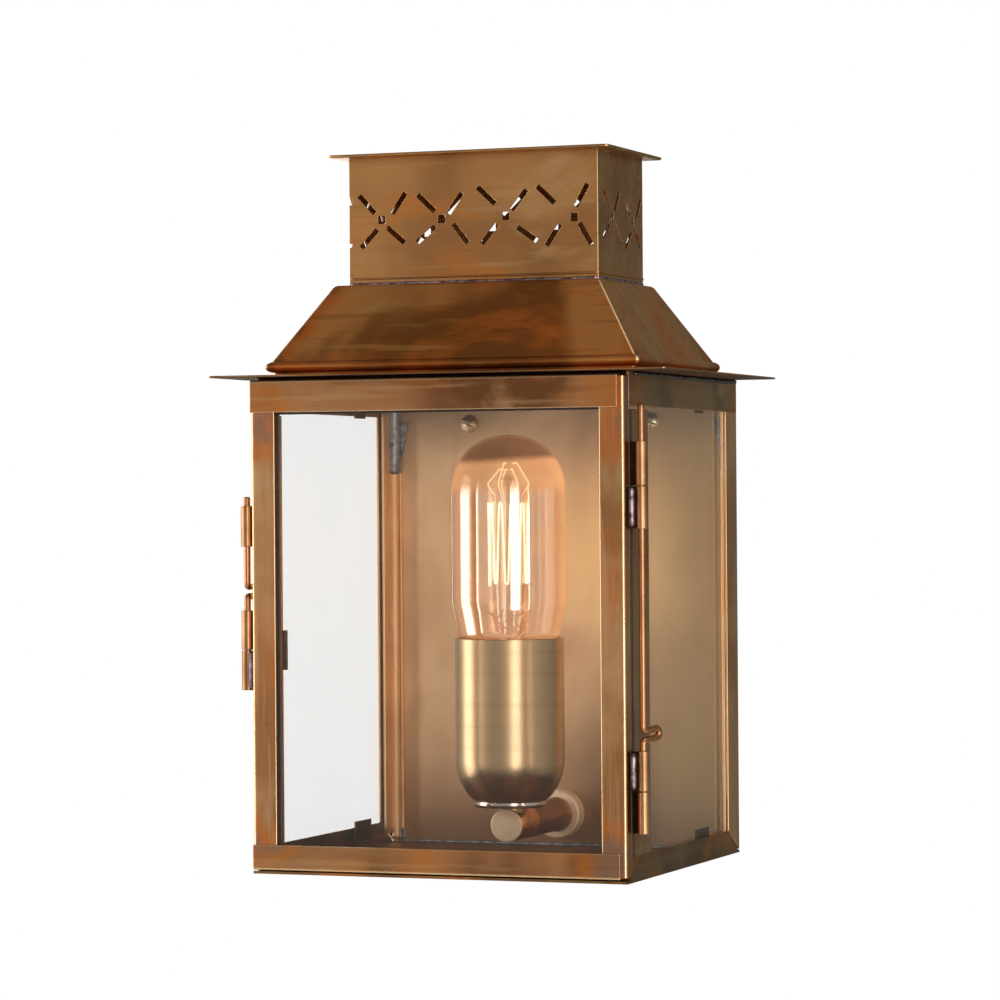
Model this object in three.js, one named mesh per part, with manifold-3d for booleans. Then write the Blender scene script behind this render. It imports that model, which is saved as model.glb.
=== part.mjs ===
// A glazed wall lantern of folded sheet: a case that hangs on the wall, a hinged glazed door with a lift-out
// hinge rod and a drop-bolt latch, a hipped roof with a pierced vent box, and a lampholder on an arm.
// Millimetres, +Z up. The origin is on the wall, behind the middle of the case: x to the right, the front at -y.
import * as THREE from "three";
import { ConvexGeometry } from "three/addons/geometries/ConvexGeometry.js";
import { mergeVertices } from "three/addons/utils/BufferGeometryUtils.js";
import Module from "manifold-3d";

const wasm = await Module();
wasm.setup();

// ---- driving dimensions

const sheet = 1.0; // case sheet
const doorSheet = 0.8;
const paneThickness = 2.0;

const caseHalf = 76.1; // half the case's width
const caseFront = -134.0;
const caseBottom = -95.9;
const caseTop = 95.1; // underside of the brim
const frontPostDepth = 22;
const rearPostDepth = 14;
const frontFlange = 9.6; // width of the front posts' faces behind the door
const sideRailTop = -86.2; // top edge of the base's side walls
const sideRailBottom = 82.0; // lower edge of the side top rails
const frontRailBottom = 80.7;
const mitreGap = 0.25;

const doorHalf = 75.9;
const doorFront = -140.5;
const doorBack = -134.2;
const doorTop = 93.9;
const doorBottom = -94.4;
const stileWidth = 9.8;
const topRailHeight = 12.5;
const bottomRailHeight = 9.7;
const railShort = 2.4; // the door's rails stop short of its hinge edge
const trayLip = -139.6; // front edge of the base plate, under the door

const brimHalf = 93;
const brimFront = -142;
const brimThickness = 0.8;
const roofCentreY = -73.7;
const roofFoot = { halfX: 74.6, halfY: 48.6, z: 101.6 };
const roofTop = { halfX: 54.9, halfY: 32.4, z: 131.5 };
const bead = { stand: 2.3, bottom: 97.0, neck: 0.9 };

const vent = { halfX: 51.7, front: -97.9, back: -44.1, bottom: 131.7, top: 181.6, wall: 0.9 };
const cap = { overhang: 6.6, thickness: 1.2 };
const pierceZ = 156.8;
const slotSize = [9.8, 2.1];
const eyeSize = [3.0, 3.3];

const pinX = 80.6; // hinge axis on the right, latch axis on the left, beside the front posts
const pinY = -133.4;
const rodRadius = 1.3;
const boreRadius = 1.41;
const knuckleRadius = 2.4;
const boreSides = 12;
const barrelSides = 16;

const lampY = -60.3;
const armZ = -81.7;
const cupRim = -7.5;
const cupRadius = 21.65;
const bulbTop = 73.2;
const bulbRadius = 23;

// ---- materials

const metal = (name, color, roughness) =>
  new THREE.MeshStandardMaterial({ name, color, roughness, metalness: 1 });
const clear = (name, color) =>
  new THREE.MeshStandardMaterial({ name, color, roughness: 0.05, transparent: true, opacity: 0.3 });
const dull = (name, color, roughness) => new THREE.MeshStandardMaterial({ name, color, roughness });

const copper = metal("aged_copper", 0x96693f, 0.38);
const backMetal = metal("matt_tan_copper", 0xaf875f, 0.6);
const wire = metal("copper_rod", 0x8a5230, 0.3);
const solder = metal("solder", 0x8f8f92, 0.45);
const brass = metal("light_brass", 0xb59b6a, 0.25);
const screwMetal = metal("screw_brass", 0xa08450, 0.35);
const nickel = metal("nickel", 0xc0c0c0, 0.25);
const glass = clear("glass", 0xe8eef0);
const bulbGlass = clear("bulb_glass", 0xfff2e0);
const ceramic = dull("ceramic", 0xe8e2d6, 0.5);
const rubber = dull("black_rubber", 0x1a1a1a, 0.6);
const brownSleeve = dull("brown_sleeve", 0x4a2c1a, 0.5);
const blueSleeve = dull("blue_sleeve", 0x2a4a7a, 0.5);
const glow = new THREE.MeshStandardMaterial({ name: "filament", color: 0xffc060, emissive: 0xff9030 });

// ---- geometry helpers

// The same surface with each corner point kept once.
function welded(geometry) {
  const bare = geometry.clone();
  for (const name of ["normal", "uv"]) bare.deleteAttribute(name);
  return mergeVertices(bare, 1e-4);
}

// A closed geometry as a manifold-3d solid, and back.
function solidOf(geometry) {
  const merged = welded(geometry);
  return new wasm.Manifold(
    new wasm.Mesh({
      numProp: 3,
      vertProperties: merged.attributes.position.array,
      triVerts: new Uint32Array(merged.index.array),
    }),
  );
}

function geometryOf(solid) {
  const mesh = solid.getMesh();
  return new THREE.BufferGeometry()
    .setAttribute("position", new THREE.BufferAttribute(mesh.vertProperties, 3))
    .setIndex(new THREE.BufferAttribute(mesh.triVerts, 1));
}

const join = (...parts) => geometryOf(parts.map(solidOf).reduce((a, b) => a.add(b)));
const cut = (body, ...tools) =>
  geometryOf(tools.map(solidOf).reduce((a, b) => a.subtract(b), solidOf(body)));

// A box between two corners.
const box = (x0, x1, y0, y1, z0, z1) =>
  new THREE.BoxGeometry(x1 - x0, y1 - y0, z1 - z0).translate((x0 + x1) / 2, (y0 + y1) / 2, (z0 + z1) / 2);

// A solid of revolution about the vertical line at (x, y), from a closed or axis-to-axis profile of [radius, z].
function turned(profile, x = 0, y = 0, sides = 32) {
  const area = profile.reduce((sum, [r, z], i) => {
    const [nextR, nextZ] = profile[(i + 1) % profile.length];
    return sum + r * nextZ - nextR * z;
  }, 0);
  const points = profile.map(([r, z]) => new THREE.Vector2(r, z));
  if (area < 0) points.reverse();
  if (points[0].x > 0 || points.at(-1).x > 0) points.push(points[0].clone());
  return new THREE.LatheGeometry(points, sides).rotateX(Math.PI / 2).translate(x, y, 0);
}

const tubeProfile = (inner, outer, z0, z1) => [
  [inner, z0],
  [outer, z0],
  [outer, z1],
  [inner, z1],
];
const rodProfile = (radius, z0, z1) => [
  [0, z0],
  [radius, z0],
  [radius, z1],
  [0, z1],
];

// The same about the line along y through (x, z): the profile's second number is then y.
const turnedAlongY = (profile, x, z, sides = 32) =>
  turned(profile.map(([r, y]) => [r, -y]), 0, 0, sides)
    .rotateX(Math.PI / 2)
    .translate(x, 0, z);

function flipped(geometry) {
  const index = geometry.index.array;
  for (let i = 0; i < index.length; i += 3) [index[i + 1], index[i + 2]] = [index[i + 2], index[i + 1]];
  return geometry;
}

// A flat outline of [y, z] points, given a thickness from x0 to x1.
function plateInX(outline, x0, x1) {
  const shape = new THREE.Shape(outline.map(([y, z]) => new THREE.Vector2(y, z)));
  const axes = new THREE.Matrix4().makeBasis(
    new THREE.Vector3(0, 1, 0),
    new THREE.Vector3(0, 0, 1),
    new THREE.Vector3(1, 0, 0),
  );
  return new THREE.ExtrudeGeometry(shape, { depth: x1 - x0, bevelEnabled: false, steps: 1 })
    .applyMatrix4(axes)
    .translate(x0, 0, 0);
}

// A round wire along a smooth curve through the points.
function wireAlong(points, radius, steps, sides = 8) {
  const path = new THREE.CatmullRomCurve3(
    points.map((p) => new THREE.Vector3(...p)),
    false,
    "centripetal",
  );
  const ring = Array.from({ length: sides }, (_, i) => {
    const angle = (2 * Math.PI * i) / sides;
    return new THREE.Vector2(radius * Math.cos(angle), radius * Math.sin(angle));
  });
  return new THREE.ExtrudeGeometry(new THREE.Shape(ring), { steps, bevelEnabled: false, extrudePath: path });
}

// ---- the scene graph

const lantern = new THREE.Group();
const caseBody = new THREE.Group();
const door = new THREE.Group();
const bulb = new THREE.Group();
lantern.add(caseBody, door, bulb);

function add(group, name, geometry, material) {
  const mesh = new THREE.Mesh(geometry, material);
  mesh.name = name;
  group.add(mesh);
}

const sides = [
  ["left", -1],
  ["right", 1],
];

// Mirrors a right-hand geometry to the left by turning its faces round again.
function onSide(geometry, sign) {
  if (sign > 0) return geometry;
  const whole = geometry.index ? geometry : welded(geometry);
  return flipped(whole.clone().scale(-1, 1, 1));
}

// ---- case

const inner = caseHalf - sheet;

// One folded sheet: a floor that runs forward under the door, two side walls mitred at the back, a front wall.
function baseTray() {
  const wall = [
    [caseFront, caseBottom],
    [-mitreGap, caseBottom],
    [-rearPostDepth - mitreGap, sideRailTop],
    [caseFront, sideRailTop],
  ];
  return join(
    box(-caseHalf, caseHalf, trayLip, 0, caseBottom, caseBottom + sheet),
    plateInX(wall, inner, caseHalf),
    plateInX(wall, -caseHalf, -inner),
    box(-inner, inner, caseFront, caseFront + sheet, caseBottom, sideRailTop),
  );
}
add(caseBody, "base_tray", baseTray(), copper);

// The back plate has a hole for the supply, behind the rose.
const inletRadius = 5;
add(
  caseBody,
  "back_plate",
  cut(
    box(-inner, inner, -sheet, 0, caseBottom + sheet, caseTop),
    turnedAlongY(rodProfile(inletRadius, -5, 5), 0, armZ, 24),
  ),
  backMetal,
);

for (const [side, sign] of sides) {
  const frontPost = join(
    box(inner, caseHalf, caseFront, caseFront + frontPostDepth, sideRailTop, sideRailBottom),
    box(caseHalf - frontFlange, caseHalf, caseFront, caseFront + sheet, sideRailTop, frontRailBottom),
  );
  add(caseBody, `front_post_${side}`, onSide(frontPost, sign), copper);

  const rearPost = plateInX(
    [
      [-rearPostDepth, sideRailTop],
      [0, caseBottom + sheet + mitreGap],
      [0, sideRailBottom],
      [-rearPostDepth, sideRailBottom],
    ],
    inner,
    caseHalf,
  );
  add(caseBody, `rear_post_${side}`, onSide(rearPost, sign), copper);

  const topRail = box(inner, caseHalf, caseFront, 0, sideRailBottom, caseTop);
  add(caseBody, `top_rail_${side}`, onSide(topRail, sign), copper);

  // A tapered tab soldered in the top rear corner, on the back plate.
  const gusset = new ConvexGeometry(
    [
      [inner, 79.5],
      [inner, 66],
      [inner - 5.6, 66],
      [inner - 8.4, 79.5],
    ].flatMap(([x, z]) => [new THREE.Vector3(x, -2.2, z), new THREE.Vector3(x, -sheet, z)]),
  );
  add(caseBody, `corner_gusset_${side}`, onSide(gusset, sign), solder);

  const pane = box(
    inner - paneThickness,
    inner,
    caseFront + sheet + 0.6,
    -sheet - 1.6,
    sideRailTop - 4,
    sideRailBottom + 4,
  );
  add(caseBody, `side_glass_${side}`, onSide(pane, sign), glass);

  // Small tabs that hold the pane against the posts and rails.
  const tabOuter = inner - paneThickness;
  const tabs = {
    top: box(tabOuter - 0.8, tabOuter, -44, -34, 81.0, 88),
    bottom: box(tabOuter - 0.8, tabOuter, -47, -31, -91.5, -83.2),
    front: box(tabOuter - 1.0, tabOuter, -117.6, -114.6, -18.5, -3),
  };
  for (const [place, tab] of Object.entries(tabs))
    add(caseBody, `${side}_pane_tab_${place}`, onSide(tab, sign), copper);
}

add(
  caseBody,
  "top_rail_front",
  box(-inner, inner, caseFront, caseFront + sheet, frontRailBottom, caseTop),
  copper,
);

// ---- brim, bead, roof, vent box and cap

const roofOpening = { halfX: 71, halfY: 45 };
const centredBox = (halfX, halfY, z0, z1, centreY = roofCentreY) =>
  box(-halfX, halfX, centreY - halfY, centreY + halfY, z0, z1);

add(
  caseBody,
  "brim",
  cut(
    box(-brimHalf, brimHalf, brimFront, 0, caseTop, caseTop + brimThickness),
    centredBox(roofOpening.halfX, roofOpening.halfY, caseTop - 1, caseTop + 2),
  ),
  copper,
);

// Corners of a rectangle about the roof's centre, at one height.
const cornersAt = (halfX, halfY, z) =>
  [-1, 1].flatMap((sx) => [-1, 1].map((sy) => new THREE.Vector3(sx * halfX, roofCentreY + sy * halfY, z)));
const hull = (...levels) => new ConvexGeometry(levels.flatMap(([halfX, halfY, z]) => cornersAt(halfX, halfY, z)));

// A round-nosed moulding with a small neck under it, round the foot of the roof.
const beadX = roofFoot.halfX + bead.stand;
const beadY = roofFoot.halfY + bead.stand;
const brimTop = caseTop + brimThickness;
add(
  caseBody,
  "roof_bead",
  cut(
    join(
      centredBox(roofFoot.halfX - bead.neck, roofFoot.halfY - bead.neck, brimTop, bead.bottom + 0.5),
      hull(
        [beadX - 1.6, beadY - 1.6, bead.bottom],
        [beadX - 0.4, beadY - 0.4, bead.bottom + 0.9],
        [beadX, beadY, bead.bottom + 2.3],
        [beadX - 0.4, beadY - 0.4, roofFoot.z - 0.9],
        [beadX - 1.6, beadY - 1.6, roofFoot.z],
      ),
    ),
    centredBox(roofOpening.halfX, roofOpening.halfY, brimTop - 1, roofFoot.z + 1),
  ),
  copper,
);

// A hipped shell: four sloping sides, a rounded shoulder and a flat top with the vent's opening in it.
const shoulder = 1.6;
const roofShell = (inset) =>
  hull(
    [roofFoot.halfX - inset, roofFoot.halfY - inset, roofFoot.z - (inset ? 1 : 0)],
    [roofTop.halfX + 0.9 - inset, roofTop.halfY + 0.9 - inset, roofTop.z - shoulder - inset],
    [roofTop.halfX - inset, roofTop.halfY - inset, roofTop.z - 0.4 - inset],
    [roofTop.halfX - 1 - inset, roofTop.halfY - 1 - inset, roofTop.z - inset],
  );
const ventCentreY = (vent.front + vent.back) / 2;
const ventHalfY = (vent.back - vent.front) / 2;
add(
  caseBody,
  "roof",
  cut(
    roofShell(0),
    roofShell(sheet),
    centredBox(vent.halfX - 1.5, ventHalfY - 1.5, roofFoot.z + 5, roofTop.z + 2, ventCentreY),
  ),
  copper,
);

// The piercing is hand cut: each cross has its own centre and four slots as [across, up, tilt in degrees]
// from that centre, round a small upright eye.
const crosses = [
  { at: -38.0, rise: 0.5, slots: [[-6.2, 6.2, -47], [7.3, 6.2, 54], [-5.3, -7.3, 45], [5.8, -6.1, -40]] },
  { at: -12.8, rise: 0, slots: [[-6.4, 6.4, -43], [5.7, 5.9, 54], [-6.5, -5.8, 38], [7.9, -5.9, -52]] },
  { at: 13.9, rise: 0.3, slots: [[-8, 8.2, -43], [5.5, 6, 51], [-6.8, -6.8, 50], [8.8, -7.3, -35]] },
  { at: 42.0, rise: -1.1, slots: [[-11.5, 9.1, -43], [3.1, 8.3, 60], [-8.6, -6.6, 55], [4.6, -6.5, -60]] },
];

// One cross as cutting bars through a wall that faces -y, at distance `at` across it. The bars are shallow, so that
// a slot that runs off the end of its wall only nicks the corner.
function crossCutters({ at, rise, slots }, halfDepth = 1.1) {
  const bars = slots.map(([across, up, tilt]) =>
    new THREE.BoxGeometry(slotSize[0], 2 * halfDepth, slotSize[1])
      .rotateY(-THREE.MathUtils.degToRad(tilt))
      .translate(at + across, 0, pierceZ + rise + up),
  );
  const eye = new THREE.BoxGeometry(eyeSize[0], 2 * halfDepth, eyeSize[1]).translate(at, 0, pierceZ + rise);
  return [...bars, eye];
}

// Sets a wall's cutters in place: turned about z and moved to the wall's middle.
const placed = (cutters, turn, x, y) => cutters.map((c) => c.rotateZ(turn).translate(x, y, 0));

const frontCutters = () => crosses.flatMap((cross) => crossCutters(cross));
const sideCutters = (first, second) => [
  ...crossCutters({ ...crosses[1], at: first, rise: 0.2 }),
  ...crossCutters({ ...crosses[0], at: second, rise: -0.8 }),
];

add(
  caseBody,
  "vent_box",
  cut(
    box(-vent.halfX, vent.halfX, vent.front, vent.back, vent.bottom, vent.top),
    box(
      -vent.halfX + vent.wall,
      vent.halfX - vent.wall,
      vent.front + vent.wall,
      vent.back - vent.wall,
      vent.bottom - 1,
      vent.top + 1,
    ),
    ...placed(frontCutters(), 0, 0, vent.front),
    ...placed(frontCutters(), Math.PI, 2, vent.back),
    ...placed(sideCutters(-10.0, 14.5), Math.PI / 2, vent.halfX, ventCentreY),
    ...placed(sideCutters(-8.6, 17.4), -Math.PI / 2, -vent.halfX, ventCentreY),
  ),
  copper,
);

add(
  caseBody,
  "vent_cap",
  box(
    -vent.halfX - cap.overhang,
    vent.halfX + cap.overhang,
    vent.front - cap.overhang,
    vent.back + cap.overhang - 1,
    vent.top,
    vent.top + cap.thickness,
  ),
  copper,
);

// ---- door

function stile(sign, hingeSide) {
  const face = doorFront + doorSheet;
  const half = doorHalf;
  const bar = join(
    box(half - stileWidth, half, face, face + doorSheet, doorBottom + doorSheet, doorTop - doorSheet),
    box(half - doorSheet, half, face, doorBack, doorBottom + doorSheet, doorTop - doorSheet),
  );
  add(door, `door_stile_${hingeSide}`, onSide(bar, sign), copper);
}
sides.forEach(([side, sign]) => stile(sign, side));

// Each rail is an angle over the stiles' ends: a front face and a lip that runs back.
const railFrom = -doorHalf;
const railTo = doorHalf - railShort;
add(
  door,
  "door_rail_top",
  join(
    box(railFrom, railTo, doorFront, doorFront + doorSheet, doorTop - topRailHeight, doorTop),
    box(railFrom, railTo, doorFront, doorBack, doorTop - doorSheet, doorTop),
  ),
  copper,
);
add(
  door,
  "door_rail_bottom",
  join(
    box(railFrom, railTo, doorFront, doorFront + doorSheet, doorBottom, doorBottom + bottomRailHeight),
    box(railFrom, railTo, doorFront, doorBack, doorBottom, doorBottom + doorSheet),
  ),
  copper,
);

const paneFront = doorFront + 2 * doorSheet;
const paneBack = paneFront + paneThickness;
add(
  door,
  "door_glass",
  box(-doorHalf + 1.2, doorHalf - 1.2, paneFront, paneBack, doorBottom + 1.4, doorTop - 1.4),
  glass,
);
for (const [side, sign] of sides) {
  const tab = box(doorHalf - 8.5, doorHalf - doorSheet, paneBack, paneBack + 0.8, 20, 30);
  add(door, `door_pane_tab_${side}`, onSide(tab, sign), copper);
}

// ---- hinge and latch knuckles, rod and bolt

// A rolled knuckle on the pin's line, with the leaf that carries it cut clear of the bore.
function knuckle(z0, z1, leaf) {
  const blanks = leaf.map(([x0, x1, y0, y1]) => box(x0, x1, y0, y1, z0, z1));
  const bore = turned(rodProfile(boreRadius, z0 - 1, z1 + 1), pinX, pinY, boreSides);
  const barrel = turned(rodProfile(knuckleRadius, z0, z1), pinX, pinY, barrelSides);
  return cut(join(barrel, ...blanks), bore);
}
// A case leaf fills in to the post. A door leaf is soldered to the stile's side and passes outside the post.
const leafEnd = pinX - 1.6;
const caseLeaf = [[caseHalf, leafEnd, pinY - 0.5, -127.5]];
const doorLeaf = [
  [doorHalf, leafEnd, -137.2, -134.3],
  [caseHalf + 0.4, leafEnd, -134.4, pinY + 0.8],
];

const upperHinge = { top: 68.7, split: 52.05, bottom: 36.1 };
const lowerHinge = { top: -46.7, split: -61.75, bottom: -77.5 };
const latch = { guideTop: 45.6, guideBottom: 29.9, top: 5.3, split: -10.15, bottom: -25.6 };
const splitGap = 0.15; // half the gap between neighbouring knuckles

add(caseBody, "hinge_knuckle_upper_case", knuckle(upperHinge.split + splitGap, upperHinge.top, caseLeaf), copper);
add(door, "hinge_knuckle_upper_door", knuckle(upperHinge.bottom, upperHinge.split - splitGap, doorLeaf), copper);
add(door, "hinge_knuckle_lower_door", knuckle(lowerHinge.split + splitGap, lowerHinge.top, doorLeaf), copper);
add(caseBody, "hinge_knuckle_lower_case", knuckle(lowerHinge.bottom, lowerHinge.split - splitGap, caseLeaf), copper);
add(caseBody, "latch_guide", onSide(knuckle(latch.guideBottom, latch.guideTop, caseLeaf), -1), copper);
add(caseBody, "latch_knuckle_case", onSide(knuckle(latch.split + splitGap, latch.top, caseLeaf), -1), copper);
add(door, "latch_knuckle_door", onSide(knuckle(latch.bottom, latch.split - splitGap, doorLeaf), -1), copper);

// A straight wire with a hairpin handle bent out of it, at `angle` degrees from straight back towards the outside.
function pinWithHandle({ bottom, top, handleLow, handleHigh, length, angle, lift }) {
  const turn = THREE.MathUtils.degToRad(angle);
  const outward = (distance, z) => [
    pinX + distance * Math.sin(turn),
    pinY + distance * Math.cos(turn),
    z + lift * (distance / length),
  ];
  const low = handleLow + rodRadius;
  const high = handleHigh - rodRadius;
  const middle = (low + high) / 2;
  const loop = [
    outward(0, low - 3.0),
    outward(0, low - 1.4),
    outward(1.6, low),
    outward(0.5 * length, low),
    outward(length - 2.2, low),
    outward(length, middle),
    outward(length - 2.2, high),
    outward(0.5 * length, high),
    outward(1.6, high),
    outward(0, high + 1.4),
    outward(0, high + 3.0),
  ];
  return join(
    turned(rodProfile(rodRadius, bottom, low - 2.2), pinX, pinY, boreSides),
    wireAlong(loop, rodRadius * 0.985, 30, 8),
    turned(rodProfile(rodRadius, high + 2.2, top), pinX, pinY, boreSides),
  );
}
const hingeRod = pinWithHandle({
  bottom: -73.7,
  top: 82.8,
  handleLow: -44.2,
  handleHigh: -38.0,
  length: 9.3,
  angle: 20,
  lift: 1.0,
});
const latchBolt = pinWithHandle({
  bottom: -24.1,
  top: 49.1,
  handleLow: 9.4,
  handleHigh: 15.7,
  length: 9.5,
  angle: 0,
  lift: 0,
});
add(lantern, "hinge_rod", hingeRod, wire);
add(lantern, "latch_bolt", onSide(latchBolt, -1), wire);

// ---- lamp: rose, arm, arm end, nipple, ring, cup and what the cup holds

const roseFace = -7.8;
const armJoint = -53.5;
const armFront = -65.6;
const armRadius = 6.75;
const leadBore = 4.2;
const nippleRadius = 4.9;
const ringTop = -71.7;
const ringBottom = -74.5;

add(
  caseBody,
  "rose",
  turnedAlongY(
    [
      [leadBore, roseFace],
      [9.4, roseFace],
      [10, roseFace + 0.6],
      [10, -sheet],
      [leadBore, -sheet],
    ],
    0,
    armZ,
    36,
  ),
  brass,
);
add(
  caseBody,
  "lamp_arm",
  turnedAlongY(tubeProfile(leadBore, armRadius - 0.15, armJoint, roseFace), 0, armZ),
  brass,
);
add(
  caseBody,
  "arm_end",
  cut(
    turnedAlongY(
      [
        [0, armFront],
        [armRadius - 0.4, armFront],
        [armRadius, armFront + 0.4],
        [armRadius, armJoint],
        [0, armJoint],
      ],
      0,
      armZ,
    ),
    turnedAlongY(rodProfile(leadBore, lampY - 1, armJoint + 1), 0, armZ, 20),
    turned(rodProfile(leadBore, armZ - 1, armZ + 10), 0, lampY, 20),
    turned(rodProfile(nippleRadius + 0.1, armZ + 4, armZ + 10), 0, lampY, 24),
  ),
  brass,
);
add(caseBody, "holder_nipple", turned(tubeProfile(3.9, nippleRadius, armZ + 4.3, -66.5), 0, lampY, 24), brass);
add(caseBody, "holder_ring", turned(tubeProfile(nippleRadius + 0.1, 14.5, ringBottom, ringTop), 0, lampY, 40), nickel);

// The cup's side runs straight down, then rounds in to the ring.
const cupTaper = { top: -59.9, bottom: ringTop, radius: 14.6 };
const cupSide = (inset) =>
  [0, 0.25, 0.5, 0.75, 1].map((t) => {
    const bend = (t * Math.PI) / 2;
    const drop = cupTaper.top - cupTaper.bottom - inset;
    const tuck = cupRadius - cupTaper.radius;
    const roundness = 0.45;
    const across = tuck * (roundness * (1 - Math.cos(bend)) + (1 - roundness) * t ** 1.6);
    const down = drop * (roundness * Math.sin(bend) + (1 - roundness) * t);
    return [cupRadius - inset - across, cupTaper.top - down];
  });
add(
  caseBody,
  "holder_cup",
  turned(
    [
      [cupRadius, cupRim],
      ...cupSide(0),
      [nippleRadius + 0.1, ringTop],
      [nippleRadius + 0.1, ringTop + sheet],
      ...cupSide(sheet).reverse(),
      [cupRadius - sheet, cupRim],
    ],
    0,
    lampY,
    32,
  ),
  brass,
);

const shell = { inner: 13.5, outer: 14.1, bottom: -46.5, top: -21.8 };
add(
  caseBody,
  "holder_insulator",
  turned(
    [
      [nippleRadius + 0.1, -70.0],
      [11.5, -70.0],
      [12, -62],
      [18.8, -56],
      [18.8, -22.2],
      [shell.outer + 0.15, -22.2],
      [shell.outer + 0.15, shell.bottom - 0.3],
      [4.6, shell.bottom - 0.3],
      [4.6, -66],
      [nippleRadius + 0.1, -66],
    ],
    0,
    lampY,
    28,
  ),
  ceramic,
);
add(caseBody, "holder_shell", turned(tubeProfile(shell.inner, shell.outer, shell.bottom, shell.top), 0, lampY), brass);
add(
  caseBody,
  "holder_contact",
  turned(
    [
      [0, -52],
      [1.6, -52],
      [1.6, -48.6],
      [4, -48],
      [4, -47.3],
      [0, -47.3],
    ],
    0,
    lampY,
    20,
  ),
  brass,
);

// Two sleeved leads from the inlet, through the rose and arm, up the nipple to the insulator.
const leadRadius = 1.2;
for (const [name, offset, material] of [
  ["lead_live", -1.5, brownSleeve],
  ["lead_neutral", 1.5, blueSleeve],
]) {
  const route = [
    [offset, -6.5, armZ],
    [offset, -20, armZ],
    [offset, -40, armZ],
    [offset, lampY + 3.4, armZ],
    [offset, lampY + 0.6, armZ + 2],
    [offset, lampY, armZ + 6],
    [offset, lampY, -66],
    [offset, lampY, -54.5],
  ];
  add(caseBody, name, wireAlong(route, leadRadius, 24, 6), material);
}

add(
  caseBody,
  "cable_grommet",
  turnedAlongY(tubeProfile(3.2, inletRadius - 0.1, -sheet, -0.1), 0, armZ, 24),
  rubber,
);
add(
  caseBody,
  "earth_screw",
  turnedAlongY(
    [
      [0, -4.2],
      [3.2, -4.2],
      [3.6, -3.6],
      [3.6, -sheet],
      [0, -sheet],
    ],
    -20,
    -60,
    16,
  ),
  screwMetal,
);

// Slotted round-head screws that hold the back plate to the wall.
for (const [side, sign] of sides) {
  const head = turnedAlongY(
    [
      [0, -3.6],
      [1.6, -3.4],
      [2.9, -2.6],
      [3.7, -1.5],
      [3.75, -sheet],
      [0, -sheet],
    ],
    0,
    0,
    20,
  );
  const slot = new THREE.BoxGeometry(10, 2.4, 0.9).translate(0, -3.6, 0).rotateY(THREE.MathUtils.degToRad(27));
  add(caseBody, `wall_screw_${side}`, cut(head, slot).translate(39.7 * sign, 0, 79), screwMetal);
}

// ---- bulb

const bulbSides = 24;
const bulbSkin = 0.9;
// From the neck in the cap, out to a straight tube and over a domed top, as [radius, z].
const neckBottom = -24;
const shoulderCurve = [
  [12.4, neckBottom],
  [12.4, -21],
  [13.6, -18],
  [17.2, -12],
  [20.2, -6.5],
  [22.2, 1],
  [bulbRadius, 9],
  [bulbRadius, 49],
];
const domeBase = 49;
const dome = (inset) =>
  [15, 30, 45, 60, 75, 90].map((degrees) => {
    const angle = THREE.MathUtils.degToRad(degrees);
    return [
      (bulbRadius - inset) * Math.cos(angle) * (degrees < 90 ? 1 : 0),
      domeBase + (bulbTop - domeBase - inset) * Math.sin(angle),
    ];
  });
add(
  bulb,
  "bulb_glass",
  turned(
    [
      ...shoulderCurve,
      ...dome(0),
      ...dome(bulbSkin).reverse(),
      ...shoulderCurve.map(([r, z]) => [r - bulbSkin, z]).reverse(),
    ],
    0,
    lampY,
    bulbSides,
  ),
  bulbGlass,
);
add(
  bulb,
  "bulb_cap",
  turned(
    [
      [0, -46.9],
      [4.4, -46.9],
      [4.8, -46],
      [9.5, -43.5],
      [12.6, -41.5],
      [13.2, -40],
      [13.2, -20.4],
      [12.7, -20.4],
      [12.7, -25],
      [0, -25],
    ],
    0,
    lampY,
    bulbSides,
  ),
  nickel,
);
add(
  bulb,
  "bulb_stem",
  turned(
    [
      [0, -24.2],
      [9.6, -24.2],
      [7.5, -19],
      [4.6, -12],
      [3.8, -2],
      [2.4, 4],
      [1.1, 8],
      [1.1, 54],
      [2.0, 55],
      [2.0, 57],
      [0, 58],
    ],
    0,
    lampY,
    16,
  ),
  bulbGlass,
);

// The filament is one wire zig-zagging up and down a cage of hooks.
const filament = { radius: 8, low: 12, high: 50, runs: 10, wire: 0.35 };
const zigzag = Array.from({ length: filament.runs + 1 }, (_, i) => {
  const angle = Math.PI * (1.1 + (1.7 * i) / filament.runs);
  return [
    filament.radius * Math.cos(angle),
    lampY + filament.radius * Math.sin(angle),
    i % 2 ? filament.high : filament.low,
  ];
});
add(bulb, "bulb_filament", wireAlong(zigzag, filament.wire, 100, 3), glow);

export default lantern;
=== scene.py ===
import math

import bmesh
import bpy
import numpy as np
from mathutils import Matrix, Vector


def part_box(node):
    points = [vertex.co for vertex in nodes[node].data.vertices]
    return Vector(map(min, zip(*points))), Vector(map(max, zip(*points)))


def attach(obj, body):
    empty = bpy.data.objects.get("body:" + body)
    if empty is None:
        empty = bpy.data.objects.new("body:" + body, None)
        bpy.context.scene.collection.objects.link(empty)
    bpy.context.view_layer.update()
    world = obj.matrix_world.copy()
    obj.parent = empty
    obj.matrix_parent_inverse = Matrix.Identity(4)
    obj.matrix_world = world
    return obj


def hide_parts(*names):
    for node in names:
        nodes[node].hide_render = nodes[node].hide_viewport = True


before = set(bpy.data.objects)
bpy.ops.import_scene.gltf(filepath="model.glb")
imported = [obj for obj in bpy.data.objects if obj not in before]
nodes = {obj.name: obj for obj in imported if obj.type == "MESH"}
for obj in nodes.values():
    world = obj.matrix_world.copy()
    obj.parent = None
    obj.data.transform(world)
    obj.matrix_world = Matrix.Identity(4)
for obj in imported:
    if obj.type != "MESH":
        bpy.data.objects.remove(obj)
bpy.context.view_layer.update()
mm = 0.001
print("frame loaded:", len(nodes), "nodes")


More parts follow.
